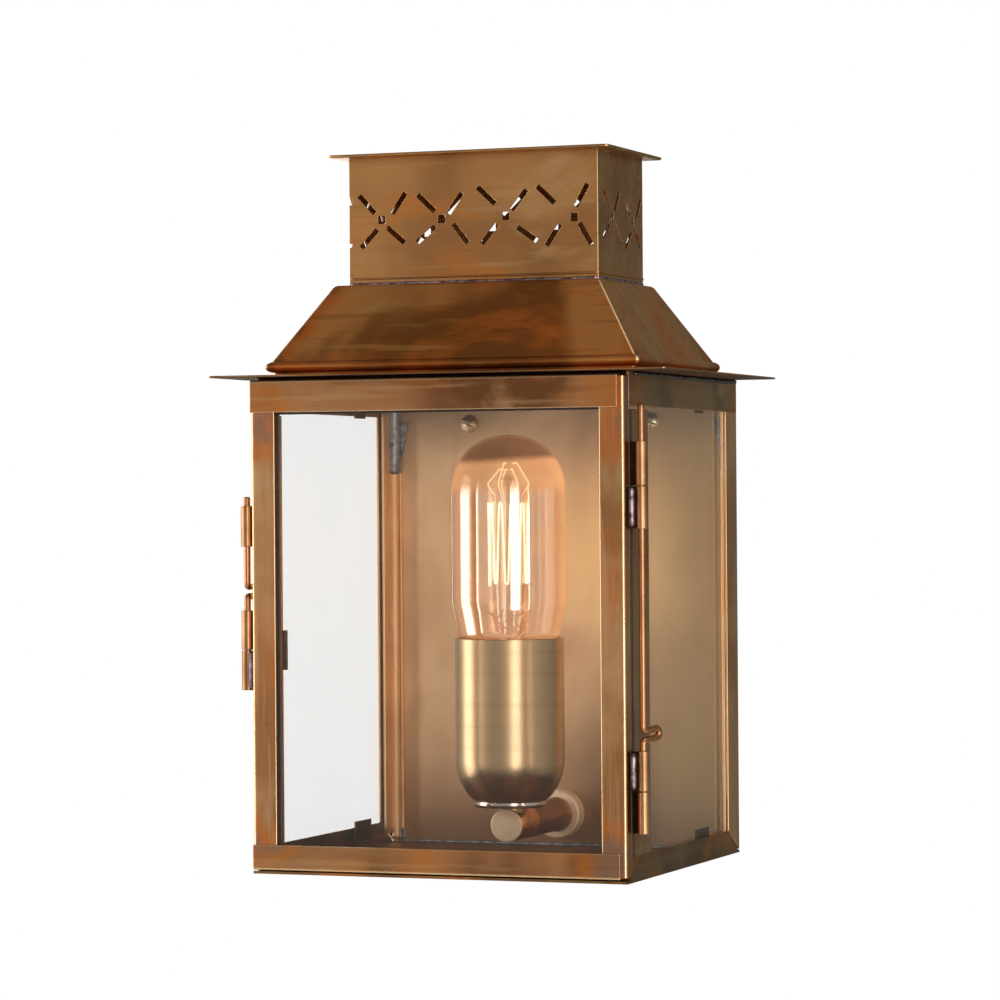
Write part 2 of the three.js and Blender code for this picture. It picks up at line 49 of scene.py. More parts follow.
# A node's lowest and highest corners in millimetres.
def span(node):
    low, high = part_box(node)
    return np.array(low) / mm, np.array(high) / mm


# Surfaces are made in millimetres, and makeMesh turns them into metres.
def unit(v):
    return v / np.maximum(np.linalg.norm(v, axis=-1, keepdims=True), 1e-12)


# Arcs at corners p between the directions back and on: each touches both sides at radius / tan(half the corner angle),
# and its points turn evenly from one touching radius to the other.
def cornerArcs(p, back, on, radius, steps):
    half = np.arccos(np.clip((back * on).sum(-1), -1, 1)) / 2
    reach = radius / np.tan(half)
    centre = p + unit(back + on) * (radius / np.sin(half))[:, None]
    first, last = p + back * reach[:, None] - centre, p + on * reach[:, None] - centre
    sweep = (np.pi - 2 * half)[:, None, None]
    t = np.linspace(0, 1, steps + 1)[None, :, None]
    arc = (np.sin((1 - t) * sweep) * first[:, None] + np.sin(t * sweep) * last[:, None]) / np.sin(sweep)
    return centre[:, None] + arc, reach


# A closed outline with every corner rounded, and a plain point a little way along each side, so that wear stays at
# the bends. Gives the points and how worn each one is.
def outline(corners, radii, steps=5, apart=0.7):
    p = np.array(corners, float)
    radius = np.broadcast_to(np.array(radii, float), len(p))
    back, on = unit(np.roll(p, 1, 0) - p), unit(np.roll(p, -1, 0) - p)
    arcs, reach = cornerArcs(p, back, on, radius, steps)
    side = np.linalg.norm(np.roll(p, -1, 0) - p, axis=1) - reach - np.roll(reach, -1)
    roomOn = np.clip(side * 0.45, 0.004, apart)
    roomBack = np.roll(roomOn, 1)
    lead = p + back * (reach + roomBack)[:, None]
    tail = p + on * (reach + roomOn)[:, None]
    points = np.concatenate([lead[:, None], arcs, tail[:, None]], 1)
    bend = 1 - 0.5 * np.abs(np.linspace(-1, 1, steps + 1))
    wear = np.concatenate([
        1 - np.clip(roomBack / 0.5, 0, 1)[:, None],
        np.broadcast_to(bend, (len(p), steps + 1)),
        1 - np.clip(roomOn / 0.5, 0, 1)[:, None],
    ], 1)
    return points.reshape(-1, 2), wear.ravel()


# An open path with its inner corners rounded.
def softPath(corners, radii, steps=6):
    p = np.array(corners, float)
    inner = p[1:-1]
    arcs, _ = cornerArcs(inner, unit(p[:-2] - inner), unit(p[2:] - inner), np.array(radii, float), steps)
    return np.concatenate([p[:1], arcs.reshape(-1, p.shape[1]), p[-1:]])


# Quads between neighbouring points of a grid, joined round where a direction closes on itself.
def gridQuads(rows, cols, closeRows, closeCols):
    i, j = np.meshgrid(np.arange(rows - (not closeRows)), np.arange(cols - (not closeCols)), indexing="ij")
    nextI, nextJ = (i + 1) % rows, (j + 1) % cols
    return np.stack([i * cols + j, i * cols + nextJ, nextI * cols + nextJ, nextI * cols + j], -1).reshape(-1, 4)


# A closed shape from a grid of points. The first and last rows are capped unless the rows close on themselves.
def shapeOf(grid, wear=None, closeRows=False):
    rows, cols = grid.shape[:2]
    quads = gridQuads(rows, cols, closeRows, True)
    caps = [] if closeRows else [list(range(cols))[::-1], list(range((rows - 1) * cols, rows * cols))]
    points = grid.reshape(-1, 3)
    a, b, c, d = (points[quads[:, k]] for k in range(4))
    volume = np.einsum("ij,ij->", a, np.cross(b, c)) + np.einsum("ij,ij->", a, np.cross(c, d))
    for cap in caps:
        ring = points[cap]
        volume += np.einsum("ij,ij->", np.broadcast_to(ring[0], ring[1:-1].shape), np.cross(ring[1:-1], ring[2:]))
    if volume < 0:
        quads = quads[:, ::-1]
        caps = [cap[::-1] for cap in caps]
    wear = np.zeros(grid.shape[:2]) if wear is None else np.broadcast_to(wear, grid.shape[:2])
    return {"points": points, "quads": quads, "caps": caps, "wear": wear.ravel()}


# An outline carried straight along one axis. The ends lean by start and end times the outline's own coordinates.
def extruded(section, axis, start, end, step=3.0, leanStart=(0, 0), leanEnd=(0, 0)):
    points, wear = section
    along = "xyz".index(axis)
    across = [k for k in range(3) if k != along]
    rows = max(2, int(abs(end - start) / step) + 1)
    t = np.linspace(0, 1, rows)[:, None]
    first, last = start + points @ np.array(leanStart, float), end + points @ np.array(leanEnd, float)
    grid = np.empty((rows, len(points), 3))
    grid[..., along] = first * (1 - t) + last * t
    grid[..., across[0]], grid[..., across[1]] = points[:, 0], points[:, 1]
    return shapeOf(grid, wear)


# Rounded rectangles stacked through rows of [half x, half y, corner radius, z, centre y]. Sides are split evenly and
# each corner is a quarter turn about its own centre. Corners are worn only on the rows from worn[0] up to worn[1].
def ringStack(rows, closed=True, step=6.0, steps=5, worn=(0, None)):
    halfX, halfY, radius, z, centreY = (np.array(rows, float)[:, k][:, None] for k in range(5))
    corners = []
    for quarter, (sx, sy) in enumerate([(1, 1), (-1, 1), (-1, -1), (1, -1)]):
        angle = (quarter + np.linspace(0, 1, steps + 1)) * math.pi / 2
        x = sx * (halfX - radius) + radius * np.cos(angle)
        y = sy * (halfY - radius) + radius * np.sin(angle) + centreY
        corners.append(np.stack([x, y, np.broadcast_to(z, x.shape)], -1))
    around, wear = [], []
    for k, corner in enumerate(corners):
        nextCorner = corners[(k + 1) % 4]
        length = np.abs(nextCorner[0, 0] - corner[0, -1]).max()
        count = max(2, int(length / step))
        t = np.concatenate([[0.6 / length], np.linspace(0, 1, count + 1)[1:-1], [1 - 0.6 / length]])[None, :, None]
        around += [corner, corner[:, -1:] * (1 - t) + nextCorner[:, :1] * t]
        wear += [1 - 0.5 * np.abs(np.linspace(-1, 1, steps + 1)), np.zeros(count + 1)]
    rubbed = np.zeros((len(rows), 1))
    rubbed[worn[0]:worn[1]] = 1
    return shapeOf(np.concatenate(around, 1), np.concatenate(wear)[None, :] * rubbed, closed)


# A profile of [radius, height] turned about a line along z through (a, b), or along y through x = a, z = b.
def turned(profile, a, b, axis="z", sides=72, closed=False, wear=None):
    radius, height = (np.array(profile, float)[:, k][:, None] for k in range(2))
    angle = np.linspace(0, 2 * np.pi, sides, endpoint=False)[None, :]
    u, v = a + radius * np.cos(angle), b + radius * np.sin(angle)
    h = np.broadcast_to(height, u.shape)
    grid = np.stack([u, v, h] if axis == "z" else [u, h, v], -1)
    return shapeOf(grid, None if wear is None else np.array(wear, float)[:, None], closed)


# A profile's corners rounded, for turning: the first and last points stay.
def eased(profile, radii, steps=4):
    return softPath(profile, radii, steps)


# A round wire along a path: a circle across the path, set by a side vector that is never along it.
def wire(path, radius, side, sides=14):
    path = np.array(path, float)
    tangent = unit(np.gradient(path, axis=0))
    across = unit(np.cross(tangent, np.broadcast_to(np.array(side, float), path.shape)))
    up = np.cross(across, tangent)
    angle = np.linspace(0, 2 * np.pi, sides, endpoint=False)[None, :, None]
    size = np.broadcast_to(np.array(radius, float), len(path))[:, None, None]
    return shapeOf(path[:, None] + size * (np.cos(angle) * across[:, None] + np.sin(angle) * up[:, None]))


# Slow waves with no period in common, from -1 to 1, for the uneven size of a solder run.
def uneven(count, seed, waves=5):
    rng = np.random.default_rng(seed)
    t = np.linspace(0, 1, count)[:, None]
    rate = rng.uniform(2, 24, waves)
    return (np.sin(2 * np.pi * (rate * t + rng.uniform(0, 1, waves))) * rng.uniform(0.3, 1, waves)).sum(1) / waves * 1.4


# Solder and flame marks: 1 at a joint, falling away as a bell curve of distance.
def heatAt(points, joints, reach=9.0):
    if not len(joints):
        return np.zeros(len(points))
    distance = np.linalg.norm(points[:, None] - np.array(joints, float)[None], axis=-1)
    return np.exp(-(distance / reach) ** 2).sum(1).clip(0, 1)


def makeMesh(name, shapes, joints=(), reach=9.0):
    points, faces, wear, offset = [], [], [], 0
    for shape in shapes:
        points.append(shape["points"])
        wear.append(shape["wear"])
        faces += (shape["quads"] + offset).tolist() + [[k + offset for k in cap] for cap in shape["caps"]]
        offset += len(shape["points"])
    points, wear = np.concatenate(points), np.concatenate(wear)
    mesh = bpy.data.meshes.new(name)
    mesh.from_pydata((points * mm).tolist(), [], faces)
    mesh.update()
    for label, values in (("wear", wear), ("scorch", heatAt(points, joints, reach))):
        mesh.attributes.new(label, "FLOAT", "POINT").data.foreach_set("value", values.astype(np.float32))
    return mesh


# Makes the piece: rounded shading with true creases, a small bevel where asked, its body, slot and the nodes it
# stands for.
def piece(name, shapes, material, body, stands=(), bevel=0.0, joints=(), reach=9.0, crease=32):
    mesh = makeMesh(name, shapes if isinstance(shapes, list) else [shapes], joints, reach)
    obj = bpy.data.objects.new(name, mesh)
    bpy.context.scene.collection.objects.link(obj)
    mesh.shade_smooth()
    mesh.set_sharp_from_angle(angle=math.radians(crease))
    mesh.materials.append(material)
    if bevel:
        modifier = obj.modifiers.new("edges", "BEVEL")
        modifier.width, modifier.segments = bevel * mm, 2
        modifier.limit_method, modifier.angle_limit = "ANGLE", math.radians(50)
    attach(obj, body)
    if stands:
        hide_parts(*([stands] if isinstance(stands, str) else stands))
    return obj


# A colour from its hexadecimal code, as the linear values that sockets take.
def colour(code):
    parts = [int(code[k:k + 2], 16) / 255 for k in (0, 2, 4)]
    return tuple(c / 12.92 if c <= 0.04045 else ((c + 0.055) / 1.055) ** 2.4 for c in parts) + (1.0,)


# A value on the way through a material. Sums and products of values add Math nodes.
class Value:
    def __init__(self, paint, socket):
        self.paint, self.socket = paint, socket

    def math(self, operation, first, second, clamp=False):
        settings = {"operation": operation, "use_clamp": clamp}
        return self.paint.node("ShaderNodeMath", settings, {0: first, 1: second}).out(0)

    def __add__(self, other): return self.math("ADD", self, other)
    def __radd__(self, other): return self.math("ADD", other, self)
    def __sub__(self, other): return self.math("SUBTRACT", self, other)
    def __rsub__(self, other): return self.math("SUBTRACT", other, self)
    def __mul__(self, other): return self.math("MULTIPLY", self, other)
    def __rmul__(self, other): return self.math("MULTIPLY", other, self)
    def __truediv__(self, other): return self.math("DIVIDE", self, other)
    def __rtruediv__(self, other): return self.math("DIVIDE", other, self)
    def __pow__(self, other): return self.math("POWER", self, other)
    def clamp(self): return self.math("ADD", self, 0.0, True)


class Made:
    def __init__(self, paint, node):
        self.paint, self.node = paint, node

    def out(self, key):
        return Value(self.paint, self.node.outputs[key])


class Paint:
    def __init__(self, tree):
        self.tree = tree
        tree.nodes.clear()
        self.place = self.node("ShaderNodeTexCoord", {}, {}).out("Object")

    # Any node: its type, its settings first, then the values or links of its sockets.
    def node(self, kind, settings, sockets):
        made = self.tree.nodes.new(kind)
        for name, value in settings.items():
            if name == "stops":
                while len(made.color_ramp.elements) < len(value):
                    made.color_ramp.elements.new(1.0)
                for element, (at, tone) in zip(made.color_ramp.elements, value):
                    element.position, element.color = at, tone
            else:
                setattr(made, name, value)
        for key, value in sockets.items():
            if isinstance(value, Value):
                self.tree.links.new(value.socket, made.inputs[key])
            else:
                made.inputs[key].default_value = value
        return Made(self, made)

    def stretched(self, scale, shift=(0, 0, 0)):
        return self.node("ShaderNodeMapping", {}, {"Vector": self.place, "Scale": scale, "Location": shift}).out(0)

    def noise(self, scale, detail=3.0, rough=0.5, vector=None, twist=0.0):
        return self.node("ShaderNodeTexNoise", {}, {
            "Vector": vector or self.place, "Scale": scale, "Detail": detail, "Roughness": rough, "Distortion": twist,
        }).out("Fac")

    def ramp(self, value, stops):
        return self.node("ShaderNodeValToRGB", {"stops": stops}, {0: value}).out(0)

    # 0 below low, 1 above high, smooth in between.
    def rise(self, value, low, high):
        settings = {"interpolation_type": "SMOOTHSTEP"}
        return self.node("ShaderNodeMapRange", settings, {0: value, 1: low, 2: high}).out(0)

    def blend(self, share, first, second):
        settings = {"data_type": "RGBA", "blend_type": "MIX"}
        return self.node("ShaderNodeMix", settings, {0: share, 6: first, 7: second}).out(2)

    def attribute(self, name):
        return self.node("ShaderNodeAttribute", {"attribute_name": name}, {}).out("Fac")

    def split(self, vector):
        made = self.node("ShaderNodeSeparateXYZ", {}, {0: vector})
        return made.out(0), made.out(1), made.out(2)

    def bump(self, height, distance, strength=1.0, under=None):
        sockets = {"Height": height, "Distance": distance, "Strength": strength}
        if under:
            sockets["Normal"] = under
        return self.node("ShaderNodeBump", {}, sockets).out(0)

    def surface(self, shader):
        self.node("ShaderNodeOutputMaterial", {}, {"Surface": shader})


def newMaterial(name):
    material = bpy.data.materials.new(name)
    material.use_nodes = True
    return material, Paint(material.node_tree)


copperTones = {
    "brown": "c08a58", "orange": "c47a3a", "pale": "d2a474", "umber": "8a5c38", "violet": "867468", "bare": "f4cfa0",
    "mark": "54402f",
}


# Aged sheet copper: slow patches of brown, orange and umber, flame marks that go orange then grey-violet towards a
# joint, long fine brushing along the grain, and bare metal showing where bends and edges are worn. An optional painted
# shade makes it dark, duller and rougher past a point along one axis.
def agedCopper(name, grain, tones=None, rough=0.36, paintedShade=None):
    tone = {k: colour(v) for k, v in {**copperTones, **(tones or {})}.items()}
    material, paint = newMaterial(name)
    slow = paint.noise(14, 3, 0.55, twist=0.6)
    drawn = {"x": (0.45, 1, 1), "y": (1, 0.45, 1), "z": (1, 1, 0.45)}[grain]
    patch = paint.noise(34, 4, 0.6, vector=paint.stretched(drawn, (3.1, 1.7, 5.2)), twist=0.5)
    fleck = paint.noise(420, 3, 0.6)
    line = {"x": (0.05, 1, 1), "y": (1, 0.05, 1), "z": (1, 1, 0.05)}[grain]
    brush = paint.noise(1500, 2, 0.6, vector=paint.stretched(line))
    streak = paint.noise(240, 3, 0.55, vector=paint.stretched(line, (0.3, 0.9, 0.4)))
    heat = paint.attribute("scorch") * (0.55 + (slow + patch - 1.0) * 2.2).clamp() + (patch - 0.5) * 0.5
    body = paint.blend(paint.rise(slow, 0.40, 0.62) * 0.9, tone["brown"], tone["umber"])
    body = paint.blend(paint.rise(patch, 0.50, 0.70) * 0.8, body, tone["orange"])
    body = paint.blend(paint.rise(patch, 0.46, 0.28) * 0.75, body, tone["pale"])
    body = paint.blend(paint.rise(heat, 0.14, 0.40) * 0.75, body, tone["orange"])
    body = paint.blend(paint.rise(heat, 0.38, 0.75) * 0.7, body, tone["violet"])
    body = paint.blend(paint.rise(streak, 0.56, 0.70) * 0.40, body, tone["umber"])
    body = paint.blend(paint.rise(streak, 0.45, 0.32) * 0.40, body, tone["pale"])
    body = paint.blend(paint.rise(fleck, 0.66, 0.76) * 0.35, body, tone["mark"])
    wear = paint.rise(paint.attribute("wear") + (fleck - 0.5) * 0.5, 0.35, 0.9)
    body = paint.blend(wear * 0.75, body, tone["bare"])
    metallic = 1.0
    # Painted shade: dark, duller and rougher past a point along one axis, where shade falls in a gap or under a lip.
    if paintedShade:
        axis, unshaded, dark = paintedShade
        shadeMask = paint.rise(paint.split(paint.place)["xyz".index(axis)], unshaded * mm, dark * mm)
        body = paint.blend(shadeMask * 0.86, body, colour("2a1c12"))
        metallic = 1.0 - shadeMask * 0.5
        rough = rough + shadeMask * 0.4
    roughness = rough + (streak - 0.5) * 0.16 + (patch - 0.5) * 0.18 - wear * 0.08
    slowDent = paint.noise(22, 1, 0.4, vector=paint.stretched((1, 1, 1), (1.3, 4.4, 2.2)))
    normal = paint.bump(brush, 0.00002, 0.35, under=paint.bump(slowDent, 0.0022, 0.30))
    shader = paint.node("ShaderNodeBsdfPrincipled", {}, {
        "Metallic": metallic, "Base Color": body, "Roughness": roughness.clamp(), "Normal": normal,
    }).out(0)
    paint.surface(shader)
    return material


# Turned or drawn metal with fine rings or lines across it.
def turnedMetal(name, base, shade, rough, lines, bumpDepth=0.000012, tarnish=0.3):
    material, paint = newMaterial(name)
    fine = paint.noise(1800, 2, 0.6, vector=paint.stretched(lines))
    wide = paint.noise(300, 2, 0.5, vector=paint.stretched(lines, (2.2, 0.4, 1.1)))
    cloud = paint.noise(45, 3, 0.55)
    body = paint.blend(paint.rise(cloud, 0.4, 0.7) * tarnish, colour(base), colour(shade))
    body = paint.blend(paint.rise(wide, 0.5, 0.75) * 0.3, body, colour(shade))
    shader = paint.node("ShaderNodeBsdfPrincipled", {}, {
        "Metallic": 1.0, "Base Color": body, "Roughness": (rough + (wide - 0.5) * 0.12 + (cloud - 0.5) * 0.1).clamp(),
        "Normal": paint.bump(fine, bumpDepth, 0.5),
    }).out(0)
    paint.surface(shader)
    return material


# Soft solder: dull silver, lumpy, darker in its hollows.
def solderMetal(name, light, dark, rough=0.42):
    material, paint = newMaterial(name)
    lump = paint.noise(260, 4, 0.6, twist=0.8)
    cloud = paint.noise(70, 3, 0.6)
    body = paint.blend(paint.rise(lump, 0.35, 0.65), colour(dark), colour(light))
    body = paint.blend(paint.rise(cloud, 0.5, 0.75) * 0.6, body, colour(dark))
    shader = paint.node("ShaderNodeBsdfPrincipled", {}, {
        "Metallic": 1.0, "Base Color": body, "Roughness": (rough + (cloud - 0.5) * 0.3).clamp(),
        "Normal": paint.bump(lump, 0.0003, 0.6),
    }).out(0)
    paint.surface(shader)
    return material


# Clear glass: light passes straight through, and the share reflected rises towards a grazing view. A layer of dust
# dulls it a little. Given a painted glow strength, the dust layer instead shines as a painted glow of the bulb's light,
# most at the edges and to the right; the far wall reflects more and the crown is darker.
def clearGlass(name, tint, dustAndGlowTint, reflect=0.05, rough=0.02, filmShare=0.02, steep=6.0, paintedGlow=0.0, gloss=(1, 1, 1, 1)):
    material, paint = newMaterial(name)
    facing = paint.node("ShaderNodeLayerWeight", {}, {"Blend": 0.5}).out("Facing")
    dust = paint.rise(paint.noise(60, 4, 0.6), 0.35, 0.75)
    share = (reflect + 0.9 * facing ** steep).clamp()
    through = paint.node("ShaderNodeBsdfTransparent", {}, {"Color": tint}).out(0)
    dustAndPaintedGlow = paint.node("ShaderNodeBsdfDiffuse", {}, {"Color": dustAndGlowTint}).out(0)
    mirror = paint.node("ShaderNodeBsdfGlossy", {}, {"Color": gloss, "Roughness": rough}).out(0)
    cover = filmShare * (0.5 + dust)
    # Painted glow: the dust layer becomes an emission of the bulb's light, brighter at the edges and to the right.
    if paintedGlow:
        x, y, z = paint.split(paint.place)
        dustAndPaintedGlow = paint.node("ShaderNodeEmission", {}, {"Color": dustAndGlowTint, "Strength": paintedGlow}).out(0)
        top = paint.rise(z - x * 0.05, 0.0616, 0.0648)
        cover = (cover + 0.34 * facing ** 1.8) * (0.5 + 0.6 * paint.rise(x, -0.018, 0.016)) * (1.0 - top * 0.75)
        share = ((share + paint.rise(y, -0.062, -0.050) * 0.13) * (0.10 + 0.9 * paint.rise(z, 0.054, 0.048))).clamp()
        crown = paint.node("ShaderNodeBsdfTransparent", {}, {"Color": (0.34, 0.24, 0.15, 1)}).out(0)
        through = paint.node("ShaderNodeMixShader", {}, {0: top * 0.45, 1: through, 2: crown}).out(0)
    pane = paint.node("ShaderNodeMixShader", {}, {0: cover, 1: through, 2: dustAndPaintedGlow}).out(0)
    paint.surface(paint.node("ShaderNodeMixShader", {}, {0: share, 1: pane, 2: mirror}).out(0))
    return material


# Ceramic, rubber and sleeves: two close colours, clouded.
def plainBody(name, base, shade, rough, scale=120, depth=0.00005):
    material, paint = newMaterial(name)
    grain = paint.noise(scale, 4, 0.6)
    shader = paint.node("ShaderNodeBsdfPrincipled", {}, {
        "Base Color": paint.blend(paint.rise(grain, 0.35, 0.7), colour(base), colour(shade)),
        "Roughness": (rough + (grain - 0.5) * 0.2).clamp(), "Normal": paint.bump(grain, depth, 0.5),
    }).out(0)
    paint.surface(shader)
    return material


# Glowing wire: white in the middle of its height and more orange near its ends. On the filament this is its own light;
# on the support wires and loose ends it is a painted glow.
def glowWire(name, strength, centreTint, endTint, low, high):
    material, paint = newMaterial(name)
    _, _, z = paint.split(paint.place)
    ends = paint.rise(z, low, low + 0.006) * paint.rise(z, high, high - 0.006)
    shader = paint.node("ShaderNodeEmission", {}, {
        "Color": paint.blend(ends, colour(endTint), colour(centreTint)), "Strength": strength,
    }).out(0)
    paint.surface(shader)
    return material


# The back plate: matt tan, greyer towards the top and red-brown near the foot. Inside only, a painted pool of bulb
# light makes it golden beside the bulb, and painted shade makes it darker under the bulb.
def backCopper(name):
    material, paint = newMaterial(name)
    x, y, z = paint.split(paint.place)
    inside = paint.rise(y, -0.0003, -0.0007)
    cloud = paint.noise(16, 3, 0.5, twist=0.5)
    smear = paint.noise(60, 3, 0.55, vector=paint.stretched((1, 1, 0.25)))
    fine = paint.noise(900, 2, 0.5, vector=paint.stretched((0.06, 1, 1)))
    body = paint.blend(paint.rise(cloud, 0.35, 0.7), colour("fcd6aa"), colour("e6bc90"))
    body = paint.blend(paint.rise(smear, 0.5, 0.8) * 0.35, body, colour("b98e66"))
    drift = (cloud - 0.5) * 0.04
    body = paint.blend(paint.rise(x + drift, 0.0, 0.06) * 0.75, body, colour("c0a070"))
    body = paint.blend(paint.rise(z + drift, 0.05, 0.1) * 0.7, body, colour("a28a72"))
    foot = paint.rise(z + drift, -0.035, -0.090) * (0.72 - 0.5 * paint.rise(x, 0.028, 0.05))
    body = paint.blend(foot, body, colour("93684a"))
    # Painted shade under the bulb, inside only.
    shade = paint.rise(x + drift, -0.01, 0.02) * paint.rise(x, 0.045, 0.025) * paint.rise(z + drift, -0.015, -0.06)
    body = paint.blend(shade * 0.6 * inside, body, colour("84603e"))
    # A painted pool of the bulb's light beside the bulb, inside only.
    glow = ((x - 0.022) * (x - 0.022) + (z - 0.026) * (z - 0.026)) ** 0.5
    body = paint.blend(paint.rise(glow + drift, 0.048, 0.008) * 0.7 * inside, body, colour("ffdca0"))
    shader = paint.node("ShaderNodeBsdfPrincipled", {}, {
        "Metallic": 1.0, "Base Color": body, "Roughness": (0.62 + (smear - 0.5) * 0.2).clamp(),
        "Normal": paint.bump(fine, 0.00002, 0.4, under=paint.bump(cloud, 0.002, 0.25)),
    }).out(0)
    paint.surface(shader)
    return material


copperX = agedCopper("copper, brushed across", "x", {"brown": "b8845a", "umber": "74492e"})
copperZ = agedCopper("copper, brushed upright", "z", {"brown": "d2a272", "pale": "e0b88c", "umber": "a87448",
                                                       "orange": "cc743a"})
roofCopper = agedCopper("roof copper", "x", {"brown": "cc8c50", "orange": "cc7230", "pale": "d2a062",
                                               "umber": "7e4a22", "violet": "74462a"}, 0.42)
ventCopper = agedCopper("vent copper", "x", {"brown": "bd8a56", "orange": "c27a3c", "umber": "9c6e44"}, 0.38)
bareEdge = turnedMetal("bare cut edge", "e8bd84", "c08a58", 0.3, (1, 1, 1), 0.00001)
rodCopper = turnedMetal("drawn copper rod", "c08a62", "70482c", 0.28, (1, 1, 0.05))
knuckleCopper = turnedMetal("rolled knuckle copper", "c09068", "7c5434", 0.3, (1, 1, 0.1), tarnish=0.6)
greySolder = solderMetal("grey solder", "b4b8be", "7e8288", 0.5)
violetSolder = solderMetal("violet solder", "b8a6b4", "5c4a50", 0.38)
blackSolder = solderMetal("dark solder", "6a6460", "17120f", 0.35)
satinBrass = turnedMetal("satin brass", "c8a67e", "a6885c", 0.31, (0.02, 0.02, 1), 0.000002, 0.2)
armBrass = turnedMetal("turned brass", "ffe8c8", "ecc49c", 0.7, (1, 0.05, 1), tarnish=0.3)
armCopper = turnedMetal("arm copper", "a87c50", "7e5636", 0.36, (1, 0.05, 1), tarnish=0.4)
polishedCopper = turnedMetal("polished copper", "ffbc70", "e09448", 0.2, (1, 0.05, 1), tarnish=0.2)
# A dark copper painted where there is only shade: the front top rail seen in the gap above the door, and the hinge and
# latch leaves.
paintedShadowCopper = agedCopper("copper, painted shadow", "x", {"brown": "2c211a", "orange": "33251b", "pale": "3a2c22", "umber": "1c1510",
                                            "bare": "5c4530"}, 0.6)
screwBrass = turnedMetal("screw brass", "f4dcba", "b89c78", 0.34, (1, 1, 1), 0.00003, 0.6)
nickel = turnedMetal("nickel", "d6c8b4", "8f8474", 0.2, (0.02, 0.02, 1))
holderBrass = turnedMetal("holder brass", "d4b06a", "9a7a40", 0.3, (0.05, 0.05, 1))
# The brim's underside carries painted shade, dark below the given height.
brimCopper = agedCopper("brim copper", "x", paintedShade=("z", 95.5, 95.2))
# The front posts carry a painted shadow along their front edges, in the gap behind the door.
postCopper = agedCopper("front post copper", "z", {"brown": "b88c62", "pale": "c89c70"}, paintedShade=("y", -130.2, -132.2))
trayCopper = agedCopper("tray copper", "y", {
    "brown": "8e6a46", "pale": "a07c54", "umber": "6a4c30", "bare": "c49c70"}, 0.42)
rearCopper = agedCopper("rear post copper", "z", {"brown": "e0b080", "umber": "b48458", "bare": "d8b084"})
innerCopper = agedCopper("inner strip copper", "z", {
    "brown": "ffd8a4", "pale": "ffe4bc", "umber": "f0c490", "orange": "f0b070"}, 0.6)
sideCopper = agedCopper("side rail copper", "y", {"brown": "a88058", "umber": "80603c", "bare": "c49c70"})
tabCopper = agedCopper("tab copper", "y", {"brown": "6e5642", "orange": "7c5436", "pale": "82684e", "umber": "4c3a2c",
                                           "bare": "9c7c5a"}, 0.5)
backMetal = backCopper("back plate copper")
paneGlass = clearGlass("pane glass", (0.984, 0.986, 0.985, 1), colour("f2f4f4"), 0.022, 0.02, 0.003)
# The bulb and stem glass carry a painted glow of the bulb's light.
lampGlass = clearGlass("bulb glass", (1.0, 0.965, 0.925, 1), colour("ffb478"), 0.25, 0.03, 0.20, 4.5, 1.08,
                       colour("ffeedc"))
stemGlass = clearGlass("stem glass", (0.99, 0.95, 0.90, 1), colour("ffc898"), 0.02, 0.03, 0.06, 4.0, 0.8)
ceramic = plainBody("glazed ceramic", "ece6da", "d9d0c0", 0.3)
blackRubber = plainBody("black rubber", "1c1c1d", "2b2a29", 0.6, 400)
brownSleeve = plainBody("brown sleeve", "50301c", "40261a", 0.45, 300)
blueSleeve = plainBody("blue sleeve", "2f5288", "26426e", 0.45, 300)
paintedGlowSupports = glowWire("support wires, painted glow", 1.35, "fff0d8", "ffdcb0", -0.008, 0.054)
paintedGlowEnds = glowWire("loose ends, painted glow", 0.7, "ff8c50", "a8502c", -0.012, 0.010)
glowingWire = glowWire("glowing filament", 3.4, "fff0cc", "ffd490", 0.009, 0.052)
print("materials made")


# Where the camera stands: degrees from straight in front, and millimetres from the point it looks at.
view = {"azimuth": 20.95, "distance": 1510.0, "aim": (0.0, -79.8, 45.3), "lens": 138.5, "roll": 0.42,
        "shift": (0.0091, 0.005)}


def addCamera():
    camera = bpy.data.objects.new("camera", bpy.data.cameras.new("camera"))
    bpy.context.scene.collection.objects.link(camera)
    camera.data.lens, camera.data.sensor_width = view["lens"], 36.0
    camera.data.shift_x, camera.data.shift_y = view["shift"]
    camera.data.clip_start, camera.data.clip_end = 0.05, 60
    turn = math.radians(view["azimuth"])
    back = Vector((math.sin(turn), -math.cos(turn), 0))
    place = Vector(view["aim"]) * mm + back * view["distance"] * mm
    right = Vector((math.cos(turn), math.sin(turn), 0))
    basis = Matrix((right, Vector((0, 0, 1)), back)).transposed().to_4x4()
    camera.matrix_world = Matrix.Translation(place) @ basis @ Matrix.Rotation(-math.radians(view["roll"]), 4, "Z")
    bpy.context.scene.camera = camera


bulbLight = {"power": 0.085, "colour": (1.0, 0.80, 0.52), "radius": 0.009}

# Soft boxes stand round the lantern: azimuth from straight in front, positive to the right.
softBoxes = [
    {"name": "left box", "azimuth": -77, "height": 40, "wide": 620, "tall": 1300, "away": 1250, "power": 9},
    {"name": "left strip", "azimuth": -47, "height": 40, "wide": 150, "tall": 1200, "away": 1250, "power": 2.6},
    {"name": "front box", "azimuth": 34, "height": 40, "wide": 460, "tall": 1300, "away": 1300, "power": 7},
    {"name": "front strip", "azimuth": 59, "height": 40, "wide": 160, "tall": 1200, "away": 1300, "power": 2.4},
    {"name": "rear box", "azimuth": 212, "height": 250, "wide": 800, "tall": 1000, "away": 1500, "power": 9},
    {"name": "top box", "azimuth": 60, "height": 1200, "wide": 900, "tall": 700, "away": 700, "power": 3},
]


